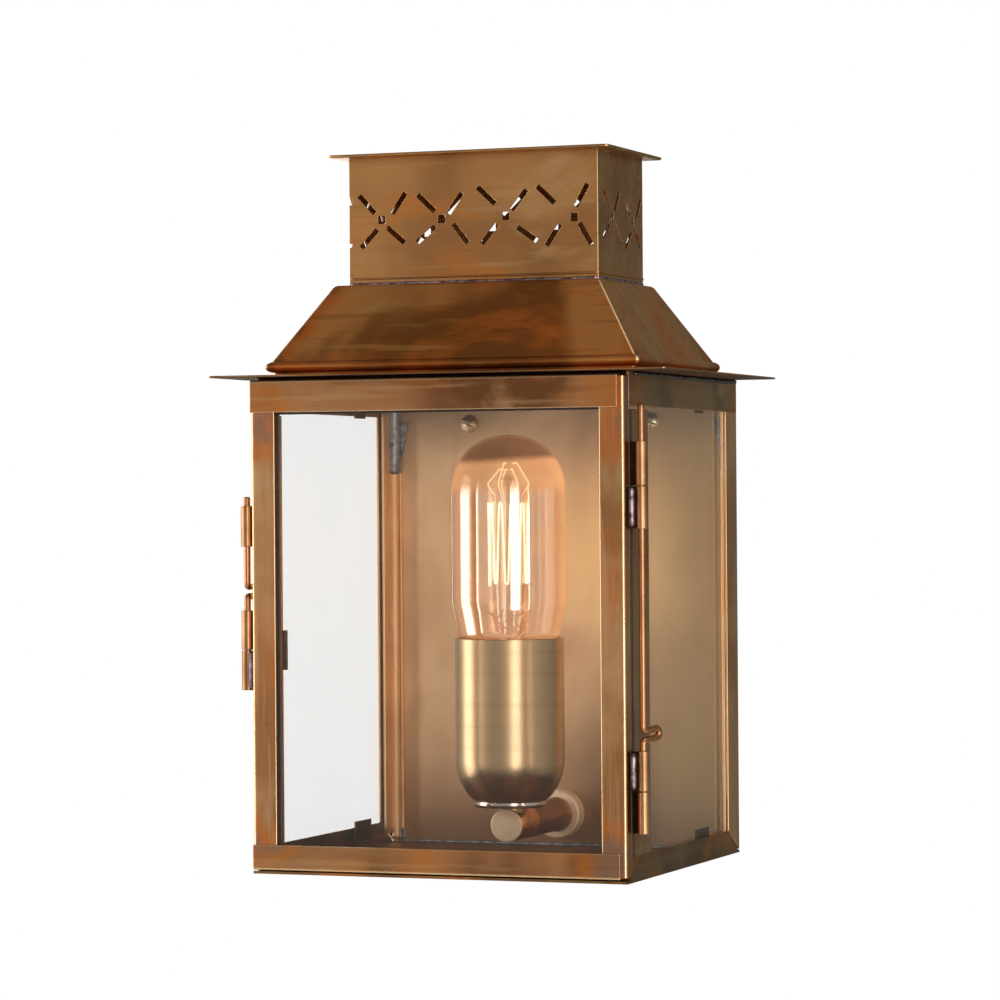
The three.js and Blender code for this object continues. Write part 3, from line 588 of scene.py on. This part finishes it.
def addLights():
    middle = Vector((0, -70, 40)) * mm
    for box in softBoxes:
        light = bpy.data.lights.new(box["name"], "AREA")
        light.shape, light.size, light.size_y = "RECTANGLE", box["wide"] * mm, box["tall"] * mm
        light.energy = box["power"]
        turn = math.radians(box["azimuth"])
        obj = bpy.data.objects.new(box["name"], light)
        out = Vector((math.sin(turn) * box["away"], -math.cos(turn) * box["away"], box["height"]))
        obj.location = middle + out * mm
        obj.rotation_euler = (middle - obj.location).to_track_quat("-Z", "Y").to_euler()
        obj.visible_camera = False
        bpy.context.scene.collection.objects.link(obj)
    low, high = span("bulb_filament")
    glow = bpy.data.lights.new("bulb light", "POINT")
    glow.energy, glow.color, glow.shadow_soft_size = (bulbLight[k] for k in ("power", "colour", "radius"))
    obj = bpy.data.objects.new("bulb light", glow)
    obj.location = Vector((low + high) / 2) * mm
    obj.visible_camera = obj.visible_glossy = False
    bpy.context.scene.collection.objects.link(obj)


# The room: white behind the lantern, and dimmer where only its reflection is seen, darkest overhead.
def addWorld():
    world = bpy.data.worlds.new("room")
    bpy.context.scene.world = world
    world.use_nodes = True
    paint = Paint(world.node_tree)
    direction = paint.node("ShaderNodeTexCoord", {}, {}).out("Generated")
    x, y, z = paint.split(direction)
    tone = paint.ramp((z + 1) * 0.5, [(0.0, colour("928d88")), (0.42, colour("b4afa9")), (0.58, colour("b4afa9")),
                                      (0.75, colour("948e86")), (1.0, colour("7c766e"))])
    tone = paint.blend(paint.rise(y, 0.15, 0.75) * 0.85, tone, colour("696f65"))
    seen = paint.node("ShaderNodeLightPath", {}, {}).out("Is Camera Ray")
    white = paint.node("ShaderNodeBackground", {}, {"Color": (1, 1, 1, 1), "Strength": 1.0}).out(0)
    room = paint.node("ShaderNodeBackground", {}, {"Color": tone, "Strength": 1.0}).out(0)
    both = paint.node("ShaderNodeMixShader", {}, {0: seen, 1: room, 2: white}).out(0)
    paint.node("ShaderNodeOutputWorld", {}, {"Surface": both})


# A pale round floor well below the lantern, which fades out at its rim.
def addFloor():
    size = {"radius": 1200.0, "z": -620.0}
    mesh = bpy.data.meshes.new("floor")
    angle = np.linspace(0, 2 * np.pi, 96, endpoint=False)
    ring = np.stack([np.cos(angle) * size["radius"], np.sin(angle) * size["radius"] - 70, np.full(96, size["z"])], -1)
    mesh.from_pydata((ring * mm).tolist(), [], [list(range(96))])
    floor = bpy.data.objects.new("floor", mesh)
    bpy.context.scene.collection.objects.link(floor)
    material, paint = newMaterial("pale floor")
    x, y, _ = paint.split(paint.place)
    away, rim = (x * x + y * y) ** 0.5, size["radius"] * mm
    grain = paint.noise(8, 2)
    pale = paint.blend(grain * 0.2, colour("f6f5f3"), colour("efedea"))
    shader = paint.node("ShaderNodeBsdfPrincipled", {}, {
        "Base Color": pale, "Roughness": 0.8, "Alpha": paint.rise(away, rim, rim * 0.55),
    }).out(0)
    paint.surface(shader)
    mesh.materials.append(material)


addCamera()
addLights()
addWorld()
addFloor()
bpy.context.scene.view_settings.view_transform = "Standard"
print("camera, light and floor set")


# Sections of folded sheet are [across, depth] corners. This one is an angle: a face from a to b at depth front, and a
# leg at b that runs back. It works mirrored when b < a.
def angleSection(a, b, front, back, thick, bend, hem):
    way = 1 if b > a else -1
    inner = b - way * thick
    corners = [(a, front), (b, front), (b, back), (inner, back), (inner, front + thick), (a, front + thick)]
    return outline(corners, [hem, bend, 0.25, 0.25, 0.25, hem], 6)


def flatSection(x0, x1, y0, y1, radius):
    return outline([(x0, y0), (x1, y0), (x1, y1), (x0, y1)], radius, 4)


def swapped(section):
    points, wear = section
    return points[:, ::-1].copy(), wear


# The door: sheet folded back along its outer rim, with flame marks near its corners and lower on each stile.
doorSheet = {"thick": 0.8, "bend": 1.05, "hem": 0.36, "edge": 0.14, "railEdge": 0.3}
doorMarks = {"inX": 5, "inZ": 7, "down": 24, "stileReach": 13.0, "railReach": 14.0}


def doorCorners():
    low, high = span("door_stile_left")
    right = span("door_stile_right")[1]
    inX, inZ = doorMarks["inX"], doorMarks["inZ"]
    return [(x, low[1], z) for x in (low[0] + inX, right[0] - inX) for z in (low[2] + inZ, high[2] - inZ)]


def buildDoor():
    thick, bend, hem, edge = (doorSheet[k] for k in ("thick", "bend", "hem", "edge"))
    joints = doorCorners()
    for side in ("left", "right"):
        low, high = span(f"door_stile_{side}")
        near, far = (high[0], low[0]) if side == "left" else (low[0], high[0])
        section = angleSection(near, far, low[1], high[1], thick, bend, hem)
        lower = ((low[0] + high[0]) / 2, low[1], high[2] - doorMarks["down"])
        piece(f"doorStile{side.title()}", extruded(section, "z", low[2], high[2], 2.0), copperZ, "door",
              f"door_stile_{side}", edge, joints + [lower], doorMarks["stileReach"])
    for rail, top in (("top", True), ("bottom", False)):
        low, high = span(f"door_rail_{rail}")
        near, far = (low[2], high[2]) if top else (high[2], low[2])
        section = swapped(angleSection(near, far, low[1], high[1], thick, bend, hem))
        piece(f"doorRail{rail.title()}", extruded(section, "x", low[0], high[0], 2.0), copperX, "door",
              f"door_rail_{rail}", doorSheet["railEdge"], joints, doorMarks["railReach"])


buildDoor()
print("door built")


# The case: the front posts stop short of the brim, and the rear posts' feet are cut to the tray's slope.
caseSheet = {"thick": 1.0, "bend": 1.1, "hem": 0.4, "edge": 0.16, "round": 0.35, "short": 1.3}
caseMarks = {"x": (-76, 76), "y": (-134, 0), "z": (-88, 88), "reach": 13.0}


def buildCase():
    thick, bend, hem, edge = (caseSheet[k] for k in ("thick", "bend", "hem", "edge"))
    joints = [(x, y, z) for x in caseMarks["x"] for y in caseMarks["y"] for z in caseMarks["z"]]
    rounding = caseSheet["round"]

    def casePiece(name, shape, material, node):
        piece(name, shape, material, "case", node, edge, joints, caseMarks["reach"])

    for side in ("left", "right"):
        low, high = span(f"front_post_{side}")
        near, far = (high[0], low[0]) if side == "left" else (low[0], high[0])
        section = angleSection(near, far, low[1], high[1], thick, bend, hem)
        post = extruded(section, "z", low[2], high[2] - caseSheet["short"], 2.5)
        casePiece(f"frontPost{side.title()}", post, postCopper, f"front_post_{side}")
        postFoot = low[2]
        low, high = span(f"rear_post_{side}")
        strip = flatSection(low[0], high[0], low[1], high[1], rounding)
        rear = extruded(strip, "z", low[2], high[2], 3.0, leanStart=(0, (postFoot - low[2]) / low[1]))
        casePiece(f"rearPost{side.title()}", rear, rearCopper, f"rear_post_{side}")
        low, high = span(f"top_rail_{side}")
        rail = extruded(flatSection(low[0], high[0], low[2], high[2], rounding), "y", low[1], high[1], 2.5)
        casePiece(f"topRail{side.title()}", rail, sideCopper, f"top_rail_{side}")
    low, high = span("top_rail_front")
    front = extruded(flatSection(low[1], high[1], low[2], high[2], rounding), "x", low[0], high[0], 4.0)
    # Painted shadow: the front top rail is seen only in the dark gap above the door.
    casePiece("topRailFront", front, paintedShadowCopper, "top_rail_front")


buildCase()
print("case built")


# Rows for a flat plate with a round nose: from its hole out under it, round the nose and back over it. The hole is
# [half x, half y, corner radius, centre y].
def plateRows(low, high, noseCorner, flatCorner, hole):
    halfX, halfY, centreY = high[0], (high[1] - low[1]) / 2, (high[1] + low[1]) / 2
    r, middle = (high[2] - low[2]) / 2, (low[2] + high[2]) / 2
    nose = [(halfX - r + r * math.cos(a), halfY - r + r * math.cos(a), noseCorner, middle + r * math.sin(a), centreY)
            for a in np.linspace(-math.pi / 2, math.pi / 2, 9)]
    under, over = ([(*hole[:3], z, hole[3]), (halfX - 3, halfY - 3, flatCorner, z, centreY)] for z in (low[2], high[2]))
    return under + nose + over[::-1]


# Brim, bead, roof shell and cap. The bead has a round nose, and the shell runs up to the foot of the vent box.
def buildRoof():
    beadLow, beadHigh = span("roof_bead")
    middle = (beadLow[1] + beadHigh[1]) / 2
    rows = plateRows(*span("brim"), 1.2, 1.0, (71, 45, 1.0, middle))
    piece("brimPlate", ringStack(rows, worn=(3, 10)), brimCopper, "case", "brim")

    beadX, beadY = beadHigh[0], (beadHigh[1] - beadLow[1]) / 2
    bottom, top = beadLow[2], beadHigh[2]
    noseBottom, deep = bottom + 1.4, 2.6
    halfHigh = (top - noseBottom) / 2
    rows = [(beadX - 3.2, beadY - 3.2, 0.8, bottom, middle), (beadX - 3.0, beadY - 3.0, 0.8, noseBottom - 0.1, middle)]
    rows += [(beadX - deep + deep * math.cos(a), beadY - deep + deep * math.cos(a), 1.4,
              noseBottom + halfHigh + halfHigh * math.sin(a), middle)
             for a in np.linspace(-math.pi / 2, math.pi / 2, 11)]
    rows += [(71.2, 45.2, 0.6, top - 0.05, middle), (71.2, 45.2, 0.6, bottom, middle)]
    piece("roofBead", ringStack(rows), roofCopper, "case", "roof_bead",
          joints=[(sx * beadX, middle + sy * beadY, 99) for sx in (-1, 1) for sy in (-1, 1)], reach=6.0)

    low, high = span("roof")
    footX, footY = high[0], (high[1] - low[1]) / 2
    z0, z1 = top, high[2]
    topX, topY, sheet = 54.9, 32.4, 1.1
    outer = np.array([(footX, footY, z0), (topX, topY, z1), (topX - 6, topY - 3.2, z1)])
    slope = softPath(outer, [3.0], 7)
    slope = np.concatenate([np.linspace(slope[0], slope[1], 9)[:-1], slope[1:]])
    rows = [(p[0], p[1], 0.9, p[2], middle) for p in slope]
    ventLow, ventHigh = span("vent_box")
    ventY = (ventLow[1] + ventHigh[1]) / 2
    rows[-1] = (ventHigh[0] - 1.5, (ventHigh[1] - ventLow[1]) / 2 - 1.5, 0.6, z1, ventY)
    inner = [(x - sheet, y - sheet, 0.6, z - (1.0 if k else 0.0), c) for k, (x, y, _, z, c) in enumerate(rows[:-1])]
    rows += [(rows[-1][0], rows[-1][1], 0.6, z1 - 1, ventY)] + inner[::-1]
    places = [(footX, footY, z0), (topX, topY, z1), ((footX + topX) / 2, (footY + topY) / 2, (z0 + z1) / 2)]
    marks = [(sx * x, middle + sy * y, z) for x, y, z in places for sx in (-1, 1) for sy in (-1, 1)]
    piece("roofShell", ringStack(rows, step=4.0), roofCopper, "case", "roof", joints=marks, reach=8.0)

    low, high = span("vent_cap")
    rows = plateRows(low, high, 1.6, 1.2, (2, 2, 0.5, (high[1] + low[1]) / 2))
    piece("ventCap", ringStack(rows, closed=False, worn=(3, 10)), ventCopper, "case", "vent_cap")


# The pierced box keeps the frame's own walls and slots; its corners get a wide bend and the slots a small one.
def buildVent():
    source = nodes["vent_box"]
    mesh = source.data.copy()
    work = bmesh.new()
    work.from_mesh(mesh)
    bmesh.ops.remove_doubles(work, verts=work.verts, dist=2e-6)
    bmesh.ops.dissolve_limit(work, angle_limit=math.radians(1), verts=work.verts, edges=work.edges)
    low, high = span("vent_box")
    weight = work.edges.layers.float.new("bevel_weight_edge")
    for edge in work.edges:
        a, b = (np.array(v.co) / mm for v in edge.verts)
        upright = abs(a[2] - b[2]) > 30
        if upright and all(abs(abs(p[0]) - high[0]) < 0.01 for p in (a, b)):
            edge[weight] = 1.0
        elif len(edge.link_faces) == 2 and edge.calc_face_angle(0) > math.radians(30) and not upright:
            edge[weight] = 0.2
    work.to_mesh(mesh)
    work.free()
    obj = bpy.data.objects.new("ventBox", mesh)
    bpy.context.scene.collection.objects.link(obj)
    mesh.materials.clear()
    mesh.materials.append(ventCopper)
    mesh.materials.append(bareEdge)
    bevel = obj.modifiers.new("edges", "BEVEL")
    bevel.width, bevel.segments, bevel.limit_method, bevel.material = 0.9 * mm, 3, "WEIGHT", 1
    mesh.shade_smooth()
    mesh.set_sharp_from_angle(angle=math.radians(32))
    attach(obj, "case")
    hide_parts("vent_box")


buildRoof()
buildVent()
print("roof and vent built")


# A run of solder: a wire whose thickness wanders, laid along a seam.
def solderRun(start, end, size, seed, side, lumps=0.35):
    length = math.dist(start, end)
    count = max(12, int(length / 0.9))
    t = np.linspace(0, 1, count)[:, None]
    path = np.array(start, float) * (1 - t) + np.array(end, float) * t
    radius = size * (1 + lumps * uneven(count, seed)).clip(0.3, 1.8)
    radius[[0, -1]] = size * 0.25
    return wire(path, radius, side, 10)


# Gives the picked faces a second material.
def secondMaterial(obj, material, picked):
    obj.data.materials.append(material)
    obj.data.polygons.foreach_set("material_index", picked.astype(np.int32))


def faceValues(obj, label):
    values = np.zeros(len(obj.data.polygons) * 3)
    obj.data.polygons.foreach_get(label, values)
    return values.reshape(-1, 3)


# Where the hinge pin stands; the latch is its mirror image on the left. Leaf outlines are [across, depth] on the right.
pin = {"x": 80.6, "y": -133.4, "rod": 1.3, "bore": 1.41, "outer": 2.4}
leaves = {
    "case": [(76.1, -133.7), (78.6, -133.7), (78.6, -130.0), (77.2, -127.7), (76.1, -127.7)],
    "door": [(75.95, -137.4), (76.9, -137.4), (78.9, -135.2), (78.9, -132.7), (76.5, -132.7), (76.5, -134.4),
             (75.95, -134.4)],
}
leafSolder = {"x": 77.6, "y": -136.3, "size": 1.15, "lumps": 0.08}


# A rolled knuckle: a tube with eased ends, and the leaf that it grew from.
def knuckleShapes(low, high, leaf, sign):
    z0, z1 = low[2], high[2]
    tube = outline([(pin["bore"], z0), (pin["outer"], z0), (pin["outer"], z1), (pin["bore"], z1)], 0.22, 4)
    barrel = turned(tube[0], sign * pin["x"], pin["y"], "z", 40, True, tube[1])
    strip = extruded(outline([(sign * x, y) for x, y in leaf], 0.2, 3), "z", z0 + 0.1, z1 - 0.1, 3.0)
    return [barrel, strip]


def buildHinges():
    for node, side, body in (
        ("hinge_knuckle_upper_case", 1, "case"), ("hinge_knuckle_lower_case", 1, "case"),
        ("latch_guide", -1, "case"), ("latch_knuckle_case", -1, "case"),
        ("hinge_knuckle_upper_door", 1, "door"), ("hinge_knuckle_lower_door", 1, "door"),
        ("latch_knuckle_door", -1, "door"),
    ):
        low, high = span(node)
        words = node.split("_")
        name = words[0] + "".join(w.title() for w in words[1:])
        barrel, strip = knuckleShapes(low, high, leaves[body], side)
        obj = piece(name, [barrel, strip], knuckleCopper, body, node)
        first = len(barrel["quads"]) + len(barrel["caps"])
        # The leaves take the painted-shadow copper, as shade in the gap beside the knuckles.
        secondMaterial(obj, paintedShadowCopper, np.arange(len(obj.data.polygons)) >= first)
        if body == "door":
            x, y, size, lumps = (leafSolder[k] for k in ("x", "y", "size", "lumps"))
            run = solderRun((side * x, y, low[2] + 0.6), (side * x, y, high[2] - 0.4), size, 31, (1, 0, 0), lumps)
            piece(name + "Solder", run, violetSolder, "door", crease=180)


# A straight wire with a hairpin bent out of it at an angle from straight back, rounded at every bend.
def pinPath(bottom, top, low, high, length, angle, lift, sign):
    turn = math.radians(angle)
    out = lambda d, z: (sign * (pin["x"] + d * math.sin(turn)), pin["y"] + d * math.cos(turn), z + lift * d / length)
    a, b = low + pin["rod"], high - pin["rod"]
    corners = [out(0, bottom), out(0, a), out(length, a), out(length, b), out(0, b), out(0, top)]
    bend = (b - a) / 2 - 0.02
    path = softPath(corners, [1.5, bend, bend, 1.5], 8)
    dense = [np.linspace(path[0], path[1], 20)[:-1], path[1:-1], np.linspace(path[-2], path[-1], 40)[1:]]
    side = np.array([sign * math.cos(turn), -math.sin(turn), 0])
    return np.concatenate(dense), side


def buildPins():
    for name, node, sign, handle, length, angle, lift in (
        ("hingeRod", "hinge_rod", 1, (-44.2, -38.0), 9.3, 20, 1.0),
        ("latchBolt", "latch_bolt", -1, (9.4, 15.7), 9.5, 0, 0),
    ):
        low, high = span(node)
        path, side = pinPath(low[2], high[2], *handle, length, angle, lift, sign)
        radius = np.full(len(path), pin["rod"])
        radius[[0, -1]] *= 0.72
        ends = [path[0] + unit(path[1] - path[0]) * 0.4, path[-1] - unit(path[-1] - path[-2]) * 0.4]
        path = np.insert(path, [1, len(path) - 1], ends, axis=0)
        radius = np.insert(radius, [1, len(radius) - 1], pin["rod"])
        piece(name, wire(path, radius, side, 20), rodCopper, node, node, crease=60)


buildHinges()
buildPins()
print("hinge and latch built")


# The lamp stands on an upright line through its middle. Its cup is straight down to the taper.
lampY, taper = -60.3, -55.5


def buildLamp():
    low, high = span("holder_cup")
    radius, rim, foot = high[0], high[2], low[2]
    wall = 0.9
    bottomRadius = 14.6
    outer = [(radius - 0.25, rim), (radius, rim - 0.25), (radius, taper)]
    t = np.linspace(0, 1, 22)[1:]
    bend = t * np.pi / 2
    tuck, drop = radius - bottomRadius, taper - foot
    across = tuck * (0.45 * (1 - np.cos(bend)) + 0.55 * t ** 1.6)
    down = drop * (0.45 * np.sin(bend) + 0.55 * t)
    curve = np.stack([radius - across, taper - down], 1)
    inside = np.stack([curve[:, 0] - wall, np.maximum(curve[:, 1], foot + wall)], 1)[::-1]
    lip = [(radius - wall, taper), (radius - wall, rim - 0.2), (radius - wall + 0.2, rim)]
    profile = np.concatenate([outer, curve, [(5.1, foot), (5.1, foot + wall)], inside, lip])
    piece("holderCup", turned(profile, 0, lampY, "z", 128, True), satinBrass, "case", "holder_cup",
          crease=40)
    low, high = span("holder_ring")
    ring = eased([(5.0, low[2]), (high[0], low[2]), (high[0], high[2]), (5.0, high[2])], [1.2, 0.9], 8)
    piece("holderRing", turned(ring, 0, lampY, "z", 96, True), nickel, "case", "holder_ring")

    armZ, bore, polishedTo = -81.7, 4.2, -45
    low, high = span("arm_end")
    r = high[0]
    end = eased([(0.02, low[1]), (r - 0.02, low[1]), (r - 0.02, high[1]), (0.02, high[1])], [0.7, 0.3], 5)
    obj = piece("armEnd", turned(end, 0, armZ, "y", 80), armBrass, "case", "arm_end")
    secondMaterial(obj, polishedCopper, np.abs(faceValues(obj, "normal")[:, 1]) < 0.3)
    low, high = span("lamp_arm")
    r = high[0]
    arm = [(bore, low[1]), (r - 0.3, low[1]), (r, low[1] + 0.4), (r, polishedTo), (r, high[1] - 0.8),
           (r + 0.5, high[1]), (bore, high[1])]
    obj = piece("lampArm", turned(arm, 0, armZ, "y", 80, True), armCopper, "case", "lamp_arm")
    secondMaterial(obj, polishedCopper, faceValues(obj, "center")[:, 1] < (polishedTo - 0.1) * mm)
    low, high = span("rose")
    r = high[0]
    rose = eased([(bore, low[1]), (r, low[1]), (r, high[1]), (bore, high[1])], [1.0, 0.2], 6)
    piece("rose", turned(rose, 0, armZ, "y", 96, True), armBrass, "case", "rose")


bulb = {"skin": 0.85, "neck": 12.35, "base": -24, "domeFrom": 49.0, "cage": 8.0, "low": 13.0, "high": 46.5,
        "tent": 57.0, "square": 0.93, "runs": 12}


# The glass: a neck that swells to a straight tube, and a quarter of an ellipse over its top.
def bulbShape():
    radius, top = span("bulb_glass")[1][[0, 2]]
    neck = softPath([(bulb["neck"], bulb["base"]), (bulb["neck"], -20.2), (20.5, -6.2), (radius, 6), (radius, 30)],
                    [3, 6, 20], 10)
    a = np.linspace(0, np.pi / 2, 18)
    across, up = np.cos(a) ** bulb["square"], np.sin(a) ** bulb["square"]
    dome = np.stack([radius * across, bulb["domeFrom"] + (top - bulb["domeFrom"]) * up], 1)
    outer = np.concatenate([neck, [(radius, 40)], dome])
    outer[-1, 0] = 0.9
    inner = outer - [bulb["skin"], 0]
    inner[-18:, 1] -= bulb["skin"] * np.sin(a)
    return turned(np.concatenate([outer, inner[::-1]]), 0, lampY, "z", 96, True)


# Points round the cage at a radius, height and angle in degrees from straight out to the right.
def caged(rows):
    r, z, angle = np.array(rows, float).T
    turn = np.radians(angle)
    return np.stack([r * np.cos(turn), lampY + r * np.sin(turn), z], 1)


# The filament runs up and down the cage between its hooks. Thin wires stand inside it, join in a tent over the top and
# end in a bunch of loose ends at the foot of the stem.
def buildBulb():
    piece("bulbGlass", bulbShape(), lampGlass, "bulb", "bulb_glass", crease=50)
    stem = eased([(0.02, -24), (9.4, -24), (7.2, -19), (4.4, -12), (3.4, -4), (1.3, 4), (1.0, 12), (1.0, 54), (1.9, 55),
                  (1.9, 57), (0.02, 58)], [0.3, 2, 3, 4, 4, 4, 8, 0.4, 0.6], 5)
    piece("bulbStem", turned(stem, 0, lampY, "z", 40), stemGlass, "bulb", "bulb_stem")
    rows = []
    for k, a in enumerate(np.linspace(188, 380, 2 * bulb["runs"])):
        top = bulb["high"] + (1.2 if k % 4 == 1 else -1.4)
        rows.append((bulb["cage"], top if k % 4 in (1, 2) else bulb["low"] + (k % 3) * 0.8, a))
    corners = caged(rows)
    strand = softPath(corners, np.full(len(corners) - 2, 0.5), 3)
    piece("bulbFilament", wire(strand, 0.36, (0.2, 0.9, 0.1), 8), glowingWire, "bulb", "bulb_filament",
          crease=180)
    posts = []
    for k, a in enumerate((205, 262, 318, 25, 130)):
        rise = bulb["tent"] + (k % 2) * 2.5
        path = softPath(caged([(3.6, -6, a), (4.4, 2, a), (5.2, 24, a), (5.4, 49, a), (8.4, 53.5, a),
                               (3.4, rise + 2.5, a), (1.6, rise + 2.2, a)]), [2, 4, 1.0, 1.2, 0.5], 4)
        posts.append(wire(path, 0.3, (0.3, 0.2, 0.93) if k % 2 else (0.9, 0.3, 0.3), 7))
    # The support wires carry a painted glow.
    piece("filamentPosts", posts, paintedGlowSupports, "bulb", crease=180)
    tails = []
    for k in range(11):
        a, lean = 200 + 33 * k, 2.5 + 1.3 * (k % 4)
        path = softPath(caged([(3.0, -7.2, a), (5.0 + 0.6 * (k % 3), -4.0 + 0.5 * (k % 2), a + 18),
                               (lean + 2.6, -0.5, a - 20), (lean + 4.6, 2.4 + 0.8 * (k % 3), a + 12)]), [1.0, 1.0], 4)
        tails.append(wire(path, 0.34, (0.1, 0.3, 0.95), 6))
    # The loose ends carry a painted glow.
    piece("filamentTails", tails, paintedGlowEnds, "bulb", crease=180)


def buildSolder():
    low, high = span("vent_box")
    z = low[2] + 0.35
    x, front, back = high[0] - 0.1, low[1] + 0.1, high[1] - 0.1
    a, b, c, d = (-x, front, z), (x, front, z), (x, back, z), (-x, back, z)
    ends = enumerate(((a, b), (b, c), (a, d), (d, c)), 3)
    vent = [solderRun(start, end, 0.75, seed, (0, 0, 1)) for seed, (start, end) in ends]
    piece("ventSeam", vent, violetSolder, "case", crease=180)
    foot = [solderRun((-x, front - 0.25, z + 2.2), (x, front - 0.25, z + 2.2), 0.42, 7, (0, 0, 1), 0.1),
            solderRun((x + 0.25, front, z + 2.2), (x + 0.25, back, z + 2.2), 0.42, 8, (0, 0, 1), 0.1)]
    piece("ventFootBead", foot, ventCopper, "case", crease=180)
    z = span("top_rail_right")[1][2] - 0.9
    brim = [solderRun((sign * 76.4, -128, z), (sign * 76.4, -2, z), 0.9, 11, (0, 0, 1), 0.15) for sign in (-1, 1)]
    piece("brimSeam", brim, blackSolder, "case", crease=180)

    # An upright run inside a rear corner, at [x, y] on the right side.
    def cornerRun(sign, x, y, z0, z1, size, seed, lumps):
        return solderRun((sign * x, y, z0), (sign * x, y, z1), size, seed, (1, 0, 0), lumps)

    moulding, solder = [], []
    for sign in (-1, 1):
        strip = flatSection(sign * 73.9 - 0.6, sign * 73.9 + 0.6, -12.5, -2.7, 0.3)
        moulding += [extruded(strip, "z", -91, 85, 3.0), cornerRun(sign, 72.6, -3.0, -94, 60, 1.9, 15, 0.01),
                     cornerRun(sign, 70.4, -1.4, -94, 60, 0.8, 16, 0.01)]
        solder += [cornerRun(sign, 72.4, -3.4, 58, 86, 2.5, 18, 0.05),
                   cornerRun(sign, 71.5, -2.0, -94, -89, 1.8, 19, 0.15)]
    solder.append(solderRun((-70, -1.4, -94.6), (70, -1.4, -94.6), 0.8, 21, (0, 0, 1), 0.03))
    piece("cornerMouldings", moulding, innerCopper, "case", crease=180)
    piece("insideSolder", solder, greySolder, "case", crease=180)


buildSolder()
buildLamp()
buildBulb()
print("lamp built")


# The frame's own parts that keep their shape, and their materials.
finishes = {
    "base_tray": trayCopper, "back_plate": backMetal,
    "corner_gusset_left": greySolder, "corner_gusset_right": greySolder,
    "side_glass_left": paneGlass, "side_glass_right": paneGlass, "door_glass": paneGlass,
    "holder_nipple": holderBrass, "holder_insulator": ceramic,
    "holder_shell": holderBrass, "holder_contact": holderBrass,
    "lead_live": brownSleeve, "lead_neutral": blueSleeve, "cable_grommet": blackRubber, "earth_screw": screwBrass,
    "wall_screw_left": screwBrass, "wall_screw_right": screwBrass, "bulb_cap": nickel,
}
for side in ("left", "right"):
    for place in ("top", "bottom", "front"):
        finishes[f"{side}_pane_tab_{place}"] = tabCopper
    finishes[f"door_pane_tab_{side}"] = tabCopper
for name, material in finishes.items():
    mesh = nodes[name].data
    mesh.materials.clear()
    mesh.materials.append(material)
print("finishes set")
